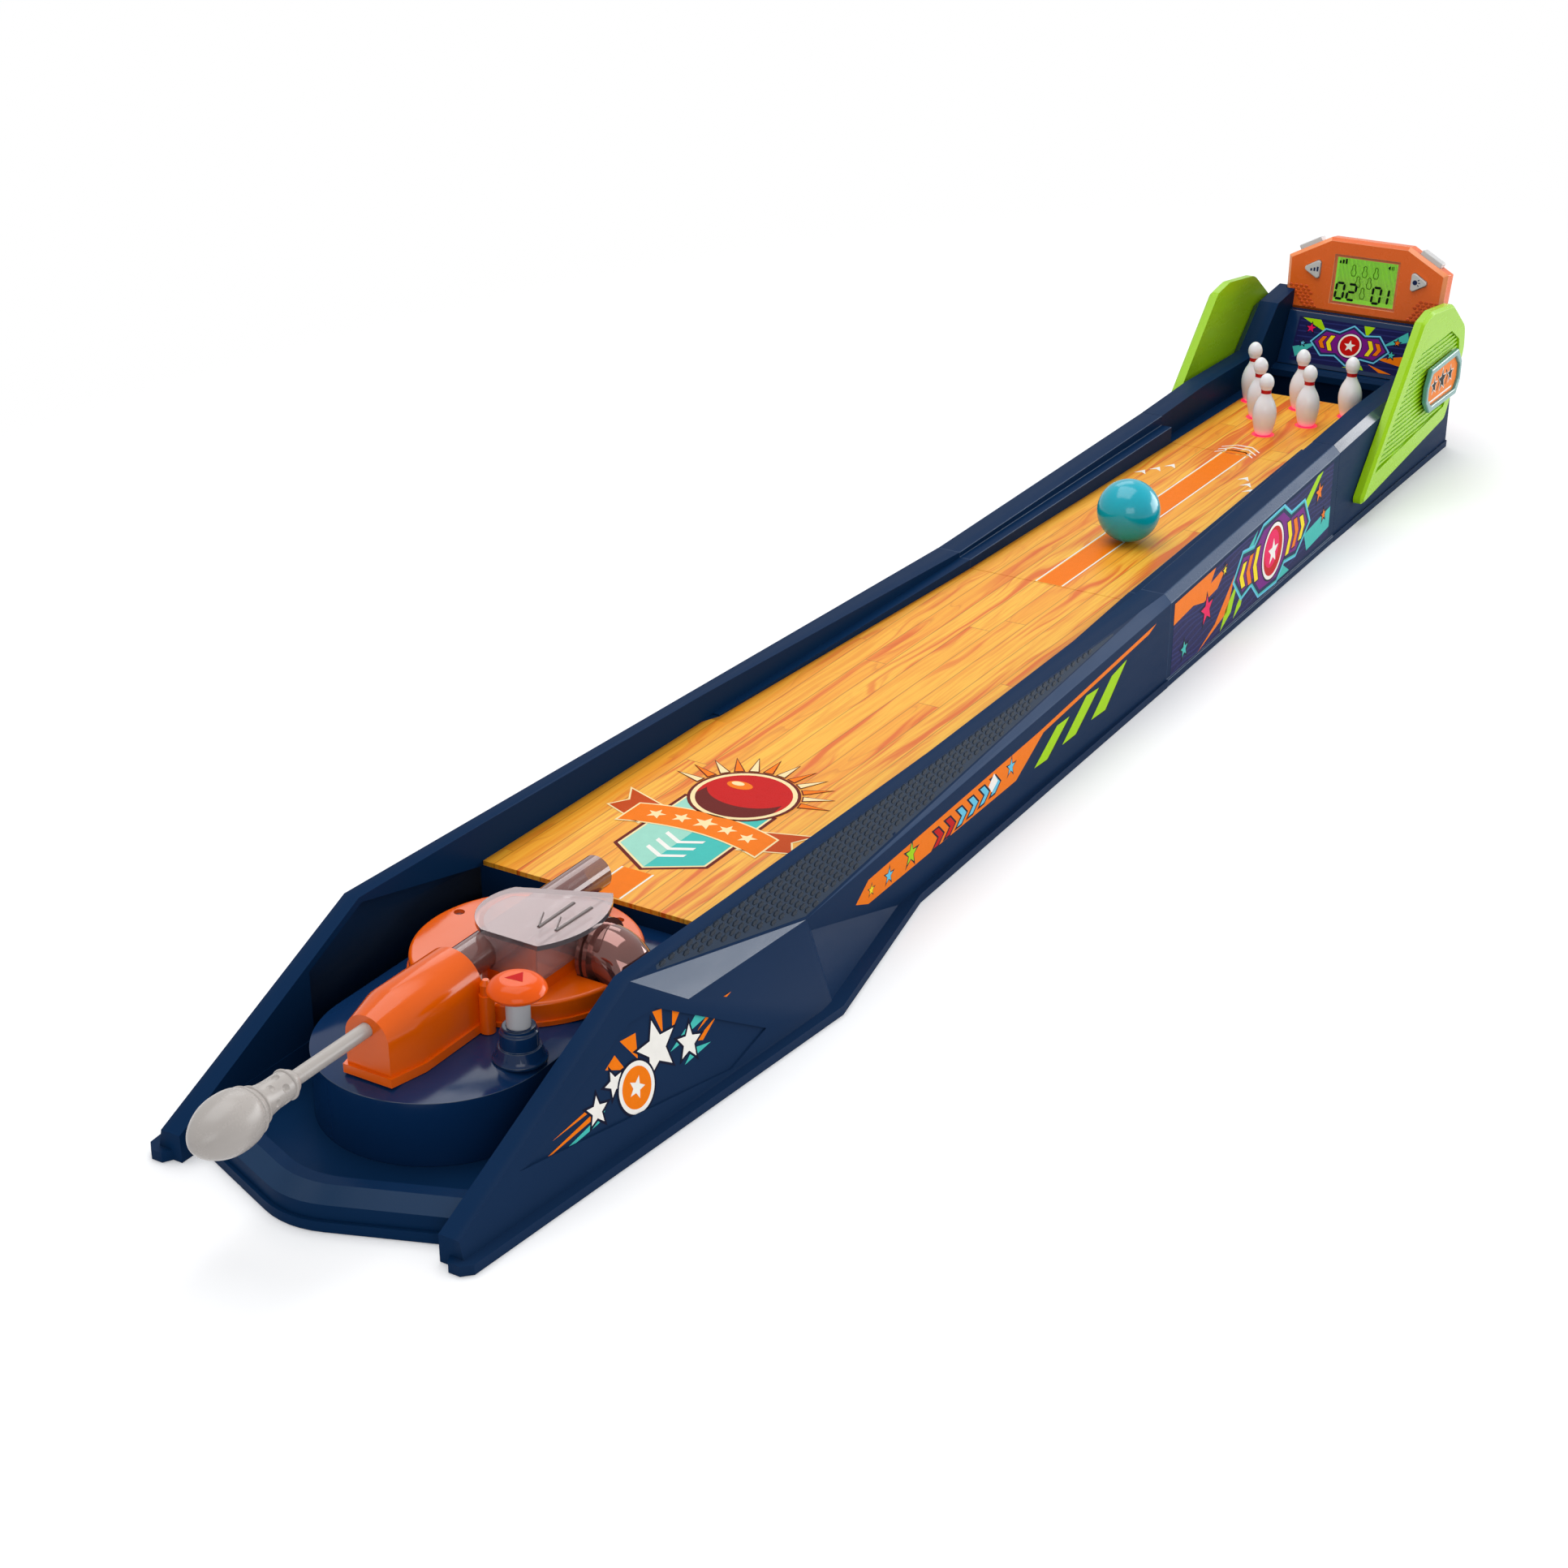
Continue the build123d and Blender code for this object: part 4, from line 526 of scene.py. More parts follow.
def grown(points, amount):
    """Loop moved outward by amount, square to its edges; sharp corners reach less far."""
    area = sum(a[0] * b[1] - b[0] * a[1] for a, b in zip(points, points[1:] + points[:1]))
    sign = 1 if area > 0 else -1
    out = []
    for k, p in enumerate(points):
        a, b = points[k - 1], points[(k + 1) % len(points)]
        d1 = Vector((p[0] - a[0], p[1] - a[1])).normalized()
        d2 = Vector((b[0] - p[0], b[1] - p[1])).normalized()
        n1, n2 = Vector((d1.y, -d1.x)) * sign, Vector((d2.y, -d2.x)) * sign
        n = n1 + n2
        n = n.normalized() if n.length > 1e-6 else n1
        reach = amount / max(0.35, n.dot(n1))
        out.append((p[0] + n.x * reach, p[1] + n.y * reach))
    return out


def bent(points, rise, half):
    """Points raised in an arch over x from -half to half."""
    return [(x, y + rise * (1 - (x / half) ** 2)) for x, y in points]


class Sheet:
    """Printed film on a flat face: shapes in layers, each in its own ink."""

    def __init__(self, name, origin, u, v, body="base", mirrored=False, step=0.025, lift=0.05):
        self.name, self.origin, self.body, self.mirrored = name, origin, body, mirrored
        self.u, self.v = u.normalized(), v.normalized()
        self.n = self.u.cross(self.v).normalized()
        self.step, self.lift = step, lift
        self.shapes = []

    def add(self, colour, points, level=0):
        self.shapes.append((colour, points, level))

    def outlined(self, colour, points, level, edge_colour, width):
        self.add(edge_colour, grown(points, width), level)
        self.add(colour, points, level + 1)

    def build(self):
        names = sorted({colour for colour, points, level in self.shapes})
        bm = bmesh.new()
        for side in ((1, -1) if self.mirrored else (1,)):
            for colour, points, level in self.shapes:
                height = (self.lift + self.step * level) / 1000
                loop = [bm.verts.new(flipped(self.origin + self.u * (a / 1000) + self.v * (b / 1000)
                                             + self.n * height, side)) for a, b in points]
                face = bm.faces.new(loop[::side])
                face.normal_update()
                if face.normal.dot(flipped(self.n, side)) < 0:
                    face.normal_flip()
                face.material_index = names.index(colour)
        bmesh.ops.triangulate(bm, faces=bm.faces, ngon_method="EAR_CLIP")
        obj = mesh_object(self.name, bm, [INKS[n] for n in names])
        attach(obj, self.body)


# Carried-over and refined nodes
PLAIN, STRIP, FACET, SLOPE = range(4)
LOW_Z = 0.03
LAUNCHER_Y = -0.3
LARGE_AREA = 0.0005


def section_slot(face):
    """The strips along the wall tops, the large facet of each bulge and the front slopes have their slots;
    the strips and the facet are drawn lighter as painted sheen and painted reflection.
    """
    normal, centre = face.normal, face.calc_center_median()
    if normal.y < -0.3 and normal.z > 0.3 and centre.z < LOW_Z:
        return SLOPE
    inward = normal.x * centre.x < 0
    if inward or abs(normal.x) < 0.35 or normal.z < 0.35 or centre.z < LOW_Z:
        return PLAIN
    on_bulge = normal.z < 0.5 and centre.y < LAUNCHER_Y and face.calc_area() > LARGE_AREA
    return FACET if on_bulge else STRIP


def platform_ledge(face):
    return 0.2 < face.normal.z < 0.95


def score_bevel(face):
    """The bevels beside the display's front, which take a paler orange as a painted highlight."""
    normal = face.normal
    return 0.3 < -normal.y < 0.94 and normal.z > -0.2 and abs(normal.x) > 0.2


def cover_skirt(face):
    return abs(face.normal.z) < 0.5 and face.calc_center_median().z > 0.0616


# The edge material of the front and middle sections is lighter navy, a painted sheen on the wall tops and
# edges
for node, strip in (("front_section", NAVY_PAINTED_SHEEN), ("middle_section", NAVY_PAINTED_SHEEN_REAR),
                    ("pin_section", NAVY_EDGE)):
    refined(node, NAVY, 0.00035, 3, edge=strip, polished=section_slot, more=(NAVY_PAINTED_REFLECTION, NAVY_SLOPE))
refined("launcher_platform", NAVY_DEEP, 0.0006, 3, edge=NAVY_EDGE, polished=platform_ledge)
refined("knob_post", NAVY_DEEP, 0.0003, 2, edge=NAVY_EDGE)
refined("back_panel", NAVY_DEEP, 0.0004, 2, edge=NAVY_EDGE)
refined("launcher_housing", ORANGE, 0.00045, 3, 24)
refined("fin_left", LIME, 0.0004, 2)
refined("fin_right", LIME, 0.0004, 2)
refined("plaque_frames", TEAL, 0.0009, 3)
refined("plaque_inserts", ORANGE_PRINT, 0.0002, 2)
# The display's bevels and edges take the painted highlight
refined("score_front", ORANGE_SCORE, 0.0004, 3, 20, edge=ORANGE_PAINTED_HIGHLIGHT, polished=score_bevel)
refined("score_rear", ORANGE_SCORE, 0.0004, 3, 20)
refined("battery_door", ORANGE_SCORE, 0.0003, 2)
for node in ("face_button_left", "face_button_right", "top_button_left", "top_button_right"):
    refined(node, GREY_BUTTON, 0.0006, 3)
refined("chamber_cover", COVER, 0.0004, 2, edge=COVER_EDGE, polished=cover_skirt)
refined("knob_cap", ORANGE_KNOB, 0.0003, 2)
refined("plunger_handle", GREY, 0.0004, 3, 30)

paint(SMOKE, "barrel_tube")
paint(SMOKE_ELBOW, "feed_elbow")
paint(ORANGE, "launcher_underplate")
paint(STEEL, "pivot_pin", "launcher_screws", "score_screws", "plunger_spring", "knob_spring", "button_cells")
paint(GREY, "plunger_rod", "plunger_striker", "speaker")
paint(SHAFT, "knob_shaft")
paint(BOARD, "circuit_board", "sensor_board")
paint(SCREEN, "lcd_module")
paint(WINDOW, "lcd_window")
paint(SPOT, "pin_spots")
paint(BALL, "ball")
paint(PIN, *[f"pin_{k}" for k in range(1, 7)])
paint(wood("wood_front", (-390.5, 57.6), (-231.5, 56.6), (-227.0, 53.0), (0.0, 43.6)), "lane_front")
paint(wood("wood_middle", (0.0, 43.6), (REAR_JOINT_Y, 39.0)), "lane_middle")
paint(wood("wood_rear", (REAR_JOINT_Y, 39.0), (360.0, 37.5)), "lane_rear")


# Prints on the lane
def lane_stripes():
    """Centre stripe in three runs, chevrons before the pins and aiming arrows."""
    sheet = Sheet("lane_stripes", mm(0, 0, LANE_Z), X, Y)
    for y0, y1 in ((-389.5, -366.0), (1.0, 238.8), (241.0, 246.0)):
        for colour, x0, x1 in (("orange", -6.4, 6.4), ("white", -7.7, -6.9), ("white", 6.9, 7.7)):
            sheet.add(colour, rect(x0, y0, x1, y1))
    for k in range(3):
        y = 246.0 + 5.2 * k
        sheet.add("white", [(-11.5, y - 7), (-4.5, y), (4.5, y), (11.5, y - 7),
                            (11.5, y - 8.4), (4.5, y - 1.4), (-4.5, y - 1.4), (-11.5, y - 8.4)])
    for side in (-1, 1):
        for k in range(3):
            x, y = 22 + 5 * k, 206 - 9 * k
            arrow = ((x, y), (x + 3.5, y - 7), (x, y - 4.5), (x - 3.5, y - 7))
            sheet.add("white", [(side * a, b) for a, b in arrow])
    sheet.build()


def lane_badge():
    """Shield with a ribbon of stars below a ball with rays."""
    sheet = Sheet("lane_badge", mm(0, 0, LANE_Z), X, Y)
    shield = [(0, -362), (20, -349), (20, -300), (-20, -300), (-20, -349)]
    sheet.outlined("cream", grown(shield, 1.0), 0, "dark_red", 1.6)
    sheet.add("teal", shield, 2)
    sheet.add("pale_teal", [(-20, -349), (0, -362), (0, -300), (-20, -300)], 3)
    for k in range(3):
        y = -352 + 7.0 * k
        sheet.add("white", [(-9, y + 5), (0, y), (9, y + 5), (9, y + 7.4), (0, y + 2.4), (-9, y + 7.4)], 4)
    for side in (-1, 1):
        tail = ((24, -330), (44, -322), (39, -314), (44, -305), (24, -312))
        sheet.outlined("deep_orange", [(side * x, y) for x, y in tail], 4, "cream", 0.8)
        sheet.add("dark_red", [(side * 24, -330), (side * 33, -326.4), (side * 33, -330.5)], 6)
    half, rise, steps = 33, 6.5, 16
    xs = [-half + 2 * half * k / steps for k in range(steps + 1)]
    band = bent([(x, -332) for x in xs] + [(x, -315) for x in reversed(xs)], rise, half)
    sheet.outlined("orange", band, 6, "cream", 0.9)
    for x, y in bent([(x, -323.5) for x in (-22, -11, 0, 11, 22)], rise, half):
        sheet.add("cream", star(x, y, 4.4 if x else 5.6), 8)
    ball_y, rays = -287, 12
    for k in range(rays):
        turn = 10 + 160 * k / (rays - 1)
        ray = [polar(0, ball_y, r, turn + spread) for r, spread in ((25, -4.2), (37, 0), (25, 4.2))]
        sheet.outlined("cream" if k % 2 else "orange", ray, 4, "dark_red", 0.6)
    sheet.outlined("cream", disc(0, ball_y, 22.5), 6, "dark_red", 1.4)
    sheet.add("red", disc(0, ball_y, 20.5), 8)
    shade = [polar(0, ball_y, 20.5, turn) for turn in range(200, 342, 6)]
    shade += [polar(0, ball_y + 5.5, 19.5, turn, 15.5 / 19.5) for turn in range(340, 199, -6)]
    sheet.add("dark_red", shade, 9)
    sheet.add("orange", disc(-7, -279, 6.0, 28, 0.6), 10)
    sheet.add("cream", disc(-8.5, -278, 3.0, 20, 0.6), 11)
    sheet.build()


# Prints on the outer walls
WALL_HALF = 66.5


def wall_x(y):
    """Half width of the outer wall: narrower to the rear, wider up to the bulges at the front."""
    end_x, end_y = (68.8, -352.0) if y < 0 else (62.0, REAR_JOINT_Y)
    return WALL_HALF + (end_x - WALL_HALF) * y / end_y


def wall_sheet(name, y):
    """Sheet on both outer walls, from the first joint towards y, with y as its first measure."""
    run = Vector((wall_x(y) - WALL_HALF, y, 0))
    return Sheet(name, mm(WALL_HALF, 0, 0), run if y > 0 else -run, Z, mirrored=True)


def wall_streak():
    """Long orange streak with stars, chevrons and slashes on the front section."""
    sheet = wall_sheet("wall_streak", -100)
    sheet.add("orange", [(-312.6, 20.4), (-302.1, 16.2), (-167.9, 17.0), (-141.2, 30.2),
                         (-25.7, 37.2), (-17.3, 39.9), (-146.0, 32.2), (-302.4, 27.2)])
    for y, z, r, colour in ((-299.8, 21.6, 2.4, "yellow"), (-285.0, 21.6, 3.4, "blue"),
                            (-266.0, 23.2, 5.0, "lime"), (-173.6, 26.0, 3.8, "blue")):
        sheet.add("outline", star(y, z, r * 1.5, 0.34, 84), 1)
        sheet.add(colour, star(y, z, r, 0.42, 84), 2)
    for k in range(6):
        mark = chevron(-246.0 + 10.6 * k, 20.6 + 0.55 * k, 4.6, 4.14, 3.6, 4.4)
        sheet.outlined("red" if k < 2 else "blue", mark, 1, "outline", 0.9)
    sheet.add("white", [(-192, 21.0), (-186.5, 24.6), (-190.4, 29.6), (-195.6, 25.2)], 3)
    for slash in ([(-149.4, 15.6), (-127.0, 28.0), (-114.0, 27.6), (-136.0, 14.8)],
                  [(-120.3, 15.8), (-96.0, 31.2), (-82.3, 30.2), (-106.0, 15.6)],
                  [(-89.1, 16.4), (-67.9, 30.9), (-51.0, 33.2), (-73.5, 15.6)]):
        sheet.add("outline", [(a + 1.6, b - 0.7) for a, b in slash])
        sheet.add("lime", slash, 1)
    sheet.build()


STICKER_START, STICKER_END = 5.0, 231.0


def sticker_low(y):
    return 3.0 + 3.6 * (y - STICKER_START) / (STICKER_END - STICKER_START)


def sticker_top(y):
    return 42.6 + (50.2 - 42.6) * (y - STICKER_START) / 225


def clipped(points):
    """Points kept inside the wall sticker."""
    return [(min(STICKER_END, max(STICKER_START, a)), min(sticker_top(a), max(sticker_low(a), b)))
            for a, b in points]


def wall_sticker():
    """Dark sticker of the middle section: waves, shards, stars and a winged ball."""
    sheet = wall_sheet("wall_sticker", 100)
    sheet.add("night", [(STICKER_START, 3.0), (STICKER_END, 6.6), (STICKER_END, 50.2), (STICKER_START, 42.6)])
    length = STICKER_END - STICKER_START
    for k in range(15):
        wave = []
        for j in range(24):
            share = j / 23
            a, b = STICKER_START + length * share, 4 + 3.4 * k + 1.2 * math.sin(j * 1.1 + k) + 7.6 * share
            if sticker_low(a) + 0.6 < b < sticker_top(a) - 1.2:
                wave.append((a, b))
        if len(wave) > 3:
            sheet.add("night_light", wave + [(a, b + 1.0) for a, b in reversed(wave)], 1)
    for colour, points in (
            ("orange", [(5, 31), (5, 42.4), (58, 44.2), (52, 37.5), (74, 41), (62, 31.5), (44, 30),
                        (30, 33)]),
            ("orange", [(40, 4.2), (62, 12), (86, 31), (78, 13)]),
            ("lime", [(70, 5), (76, 15), (92, 27), (84, 11)]),
            ("lime", [(88, 6), (92, 12), (102, 20), (98, 10)]),
            ("teal", [(196, 9), (231, 12), (231, 24), (190, 20)]), ("teal", [(92, 34), (116, 46), (104, 30)]),
            ("lime", [(178, 34), (205, 49.2), (214, 49.6), (190, 33)]),
            ("teal", [(124, 5.4), (170, 6.2), (160, 12)]), ("yellow", [(120, 40), (132, 46.2), (128, 38)])):
        sheet.add(colour, clipped(points), 2)
    for a, b, r, colour in ((49, 24.5, 8.0, "pink"), (21, 13.0, 4.4, "teal"), (210, 38.6, 5.6, "orange"),
                            (220, 22.6, 3.4, "orange"), (71, 38.5, 2.6, "yellow")):
        sheet.outlined(colour, star(a, b, r, 0.42, 96), 4, "outline", 0.9)
    core = [(86, 27), (98, 15), (112, 18), (124, 7.5), (150, 7.0), (160, 15), (178, 13), (196, 26), (186, 40),
            (166, 39), (154, 46.5), (124, 45), (112, 37), (96, 39)]
    rings = (("blue", 2.0), ("teal", 0.9), ("slate", 0.0), ("purple", -2.2))
    for level, (colour, amount) in enumerate(rings, 4):
        sheet.add(colour, grown(core, amount), level)
    centre, middle = 141, 26.5
    for side in (-1, 1):
        for k in range(3):
            half = 9.5 * (1.0 - 0.14 * k)
            plate = wing(centre + side * (20 + 9.5 * k), middle, side, half, notch=4.0, shoulder=5.0, tip=9.0)
            sheet.outlined("orange" if k == 1 else "yellow", plate, 8, "outline", 0.8)
    sheet.outlined("white", disc(centre, middle, 15.6), 10, "outline", 1.0)
    sheet.add("red", disc(centre, middle, 13.6), 12)
    sheet.add("pink", disc(138.8, 28.4, 10.4), 13)
    sheet.add("white", star(centre, 26.2, 7.6), 14)
    sheet.build()


# Print on the faceted launcher panel
def panel_x(y, z):
    """Half width of the bulge's large facet."""
    return 68.0 + 0.090476 * (y + 570) - 0.220675 * z


def panel_print():
    """A burst of stars, a ball and splinters, in millimetres from its middle."""
    y, z, span = -470, 26, 100
    x = panel_x(y, z)
    u = Vector((panel_x(y + span, z) - x, span, 0))
    v = u.cross(Vector((panel_x(y, z + span) - x, 0, span))).normalized().cross(u)
    origin = mm(x - 0.8, y, z) + u.normalized() * 0.005 - v.normalized() * 0.0045
    sheet = Sheet("panel_print", origin, u, v, mirrored=True)
    for colour, splinters in (
            ("orange", ([(-66, -5), (-34, -1.5), (-30, 1.0)], [(-54, 0.5), (-32, 2.0), (-28, 4.0)],
                        [(-22, 12.5), (-12, 8), (-16, 15.5)], [(-12, 19), (-5, 9), (-3.5, 18.5)],
                        [(7, 22), (10, 12), (12, 21)], [(18, 20.5), (15, 11), (22, 17)],
                        [(40, 6), (26, 2), (30, 0.5)], [(50, 11), (28, 5), (40, 11)])),
            ("teal", ([(-58, -7), (-30, -4), (-26, -1)], [(30, 12), (20, 6), (44, 9.5)],
                      [(34, -2), (18, -4), (24, 0)], [(22, 8.5), (12, 4), (26, 5)],
                      [(-24, 6), (-14, 4), (-20, 9)]))):
        for points in splinters:
            sheet.add(colour, points, 1)
    for a, b, r, turn in ((-30, 0.5, 5.6, 80), (-19, 6.0, 5.0, 100), (5.5, 8.5, 10.8, 90),
                          (22.5, 3.0, 6.8, 75)):
        sheet.outlined("white", star(a, b, r, 0.45, turn), 2, "outline", 0.9)
    sheet.outlined("white", disc(-8.5, -0.5, 9.6), 4, "outline", 0.9)
    sheet.add("orange", disc(-8.5, -0.5, 7.8), 6)
    sheet.add("white", star(-8.5, -0.5, 4.4, 0.45, 60), 7)
    sheet.build()


def back_sticker():
    """Sticker on the leaning back panel, whose face passes two points given as y and z."""
    (y0, z0), (y1, z1), foot_z = (412, 45), (428, 75), 47
    foot = mm(0, y0 + (y1 - y0) * (foot_z - z0) / (z1 - z0), foot_z)
    sheet = Sheet("back_sticker", foot, X, Vector((0, y1 - y0, z1 - z0)))
    sheet.add("night", rect(-36, 0.5, 36, 28.5))
    for k in range(8):
        b = 2.5 + 3.3 * k
        sheet.add("night_light", [(-35, b), (35, b + 1.6), (35, b + 2.4), (-35, b + 0.8)], 1)
    for colour, points in (
            ("lime", [(-34, 28), (-22, 28), (-16, 20)]), ("teal", [(-36, 9), (-20, 14), (-33, 3)]),
            ("teal", [(36, 22), (20, 17), (34, 28)]), ("orange", [(36, 6), (18, 9), (36, 13)]),
            ("orange", [(30, 0.8), (14, 5), (22, 0.8)]), ("lime", [(-2, 0.8), (10, 3.5), (12, 0.8)]),
            ("lime", [(6, 28), (9, 21), (13, 28)])):
        sheet.add(colour, points, 2)
    for a, b, r, colour in ((-27, 22, 3.0, "pink"), (-30, 12, 1.6, "blue"), (27, 12.5, 2.4, "teal"),
                            (29, 20.5, 1.8, "orange")):
        sheet.outlined(colour, star(a, b, r), 4, "outline", 0.5)
    core = [(-24, 14), (-17, 7), (-8, 8), (0, 3), (8, 8), (17, 7), (24, 14), (17, 22), (8, 21), (0, 26),
            (-8, 21), (-17, 22)]
    for level, (colour, amount) in enumerate((("blue", 1.3), ("slate", 0.4), ("purple", -0.8)), 5):
        sheet.add(colour, grown(core, amount), level)
    middle = 14.5
    for side in (-1, 1):
        for k, colour in enumerate(("yellow", "orange")):
            plate = wing(side * (10.5 + 5.0 * k), middle, side, 4.7 - k, notch=2.2, shoulder=2.6, tip=4.8)
            sheet.outlined(colour, plate, 8, "outline", 0.4)
    sheet.outlined("white", disc(0, middle, 7.4), 10, "outline", 0.5)
    sheet.add("red", disc(0, middle, 6.3), 12)
    sheet.add("white", star(0, 14.3, 3.8), 13)
    sheet.build()


# Small moulded forms on the walls. The sloping band over the launcher walls starts at a point, is widest
# beside the bay and closes before the first joint; its corners are given as y, x and z
BAND_START, BAND_WIDEST, BAND_END = (-466.0, 64.5, 58.5), (-352.0, 68.8, 32.0), (-28.0, 62.6, 49.1)
WALL_TOP_END = (0.0, 62.5, 48.5)


def on_line(start, end, y):
    """The x and z where the straight line from start to end passes y."""
    share = (y - start[0]) / (end[0] - start[0])
    return [a + (b - a) * share for a, b in zip(start[1:], end[1:])]


def wall_scales():
    """Rows of small raised scales on the sloping band."""
    rows, columns, row_pitch, pitch = 9, 69, 2.45, 6.0
    tree = surface("front_section")
    bm = bmesh.new()
    for row in range(rows):
        for column in range(columns):
            y = -452.0 + pitch * column
            top = on_line(BAND_START, WALL_TOP_END, y)
            wider = y < BAND_WIDEST[0]
            low = on_line(*((BAND_START, BAND_WIDEST) if wider else (BAND_WIDEST, BAND_END)), y)
            tall = math.hypot(top[0] - low[0], top[1] - low[1])
            down = 1.6 + row * row_pitch
            centre_y = y + (pitch / 2 if row % 2 else 0)
            if down + 1.3 >= tall - 1.4 or centre_y >= -42:
                continue
            x, z = (a + (b - a) * (1 - down / tall) for a, b in zip(low, top))
            place, normal = onto_side(tree, x + 20, centre_y, z)
            if place is None or normal.x <= 0.2:
                continue
            along = (Y - normal * Y.dot(normal)).normalized()
            for side in (1, -1):
                spot = (flipped(v, side) for v in (place, along, normal.cross(along), normal))
                raised_hexagon(bm, *spot, foot=(2.55, 1.12), top=(1.95, 0.72), corner=0.55, height=0.34)
    bmesh.ops.recalc_face_normals(bm, faces=bm.faces)
    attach(mesh_object("wall_scales", bm, [NAVY_DARK]), "base")


def wall_band():
    """Thin skin under the scales that follows the slightly bent band, on both sides."""
    lift = 0.06 / 1000
    loop = [(-450, 55.6), (-352, 33.4), (-60, 48.0), (-60, 49.0), (-450, 57.4)]
    tree = surface("front_section")
    bm = bmesh.new()
    bm.faces.new([bm.verts.new((0, y, z)) for y, z in loop])
    for axis, values, cells in ((Y, [y for y, z in loop], 24), (Z, [z for y, z in loop], 8)):
        low, high = min(values), max(values)
        for k in range(1, cells):
            bmesh.ops.bisect_plane(bm, geom=bm.verts[:] + bm.edges[:] + bm.faces[:],
                                   plane_co=axis * (low + (high - low) * k / cells), plane_no=axis)
    for v in bm.verts:
        place, normal = onto_side(tree, 120, v.co.y, v.co.z)
        v.co = place + normal * lift if place is not None else mm(66, v.co.y, v.co.z)
    bmesh.ops.recalc_face_normals(bm, faces=bm.faces)
    if sum(f.normal.x * f.calc_area() for f in bm.faces) < 0:
        bmesh.ops.reverse_faces(bm, faces=bm.faces)
    copy = bmesh.ops.duplicate(bm, geom=bm.verts[:] + bm.edges[:] + bm.faces[:])["geom"]
    for v in [g for g in copy if isinstance(g, bmesh.types.BMVert)]:
        v.co.x = -v.co.x
    bmesh.ops.reverse_faces(bm, faces=[g for g in copy if isinstance(g, bmesh.types.BMFace)])
    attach(mesh_object("wall_band", bm, [NAVY_PANEL], smooth=True), "base")


# Display: its front leans back about its foot
TILT = math.radians(8)
SCORE_FOOT = mm(0, 433.5, 74.3)
SCORE_UP = Vector((0, math.sin(TILT), math.cos(TILT)))
SCORE_OUT = Vector((0, -math.cos(TILT), math.sin(TILT)))
SEGMENTS = {"0": "abcdef", "1": "bc", "2": "abged"}


def digit(sheet, text, x, y):
    """A figure of pointed bars, slightly slanted."""
    w, h, thick, slant = 5.0, 9.6, 1.5, 0.08
    bars = {"a": ((0, h), (w, h)), "b": ((w, h), (w, h / 2)), "c": ((w, h / 2), (w, 0)),
            "d": ((0, 0), (w, 0)), "e": ((0, 0), (0, h / 2)), "f": ((0, h / 2), (0, h)),
            "g": ((0, h / 2), (w, h / 2))}
    for name in SEGMENTS[text]:
        start, end = (Vector(p) for p in bars[name])
        along = (end - start).normalized() * thick
        side = Vector((-along.y, along.x)) / 2
        p, q = start + along * 0.12, end - along * 0.12
        p2, q2 = p + along * 0.5, q - along * 0.5
        loop = [p, p2 + side, q2 + side, q, q2 - side, p2 - side]
        sheet.add("black", [(x + v.x + slant * v.y, y + v.y) for v in loop], 1)


def lcd_marks():
    """Two plain numbers, a triangle of small pins and the signs in the display's upper corners."""
    sheet = Sheet("lcd_marks", SCORE_FOOT - SCORE_OUT * 0.0004, X, SCORE_UP, lift=0.52, step=0.02)
    for text, x in (("0", -18.0), ("2", -10.4), ("0", 5.6), ("1", 10.6)):
        digit(sheet, text, x, 10.0)
    right = [(0, 6.8), (1.0, 6.0), (0.8, 4.2), (1.7, 2.2), (1.0, 0)]
    pin = [(-x, y) for x, y in right[:0:-1]] + right
    for row in range(3):
        for k in range(row + 1):
            x, y = (k - row / 2) * 7.2 - 0.6, 11.6 + 6.6 * row
            placed = [(x + a, y + b) for a, b in pin]
            for start, end in zip(placed, placed[1:] + placed[:1]):
                sheet.add("lcd_grey", oblong(start, end, 0.21), 1)
    for k in range(3):
        sheet.add("black", rect(-17.5 + 1.9 * k, 31.5, -16.3 + 1.9 * k, 33.2 + 0.7 * k), 1)
    sheet.add("black", [(13.6, 32.4), (15.2, 33.9), (15.2, 30.9)], 1)
    for k in range(2):
        sheet.add("black", rect(16.0 + k, 31.4 - 0.2 * k, 16.5 + k, 33.4 + 0.2 * k), 1)
    sheet.build()


def button_marks():
    """Rising bars on the left face button, a lamp with rays on the right one."""
    for side, name in ((-1, "left"), (1, "right")):
        sheet = Sheet(f"mark_{name}", SCORE_FOOT + SCORE_OUT * 0.0016, X, SCORE_UP,
                      body=f"face_button_{name}")
        x, y = side * 32.6, 26.0
        if name == "left":
            for k in range(3):
                sheet.add("slate", rect(x - 2.6 + 2 * k, y - 1.3, x - 1.4 + 2 * k, y + 0.2 + 0.7 * k))
        else:
            x -= 0.6
            sheet.add("slate", disc(x, y, 1.5, 20))
            for turn in (-38, 0, 38):
                sheet.add("slate", oblong(polar(x, y, 2.1, turn), polar(x, y, 3.2, turn), 0.3))
        sheet.build()


def score_scales():
    """Hexagon texture on the display's two lower corners."""
    bm = bmesh.new()
    for side in (-1, 1):
        for row in range(7):
            for column in range(8):
                x = 27.0 + column * 3.3 + (1.65 if row % 2 else 0)
                z = 3.0 + row * 1.95
                if 27.5 + z * 0.55 <= x <= min(35.0 + z * 0.95, 48.5):
                    place = SCORE_FOOT + (X * (side * x) + SCORE_UP * z) / 1000
                    raised_hexagon(bm, place, X * side, SCORE_UP, SCORE_OUT,
                                   foot=(1.42, 0.88), top=(1.0, 0.55), corner=0.5, height=0.4)
    bmesh.ops.recalc_face_normals(bm, faces=bm.faces)
    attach(mesh_object("score_scales", bm, [ORANGE_DEEP]), "base")


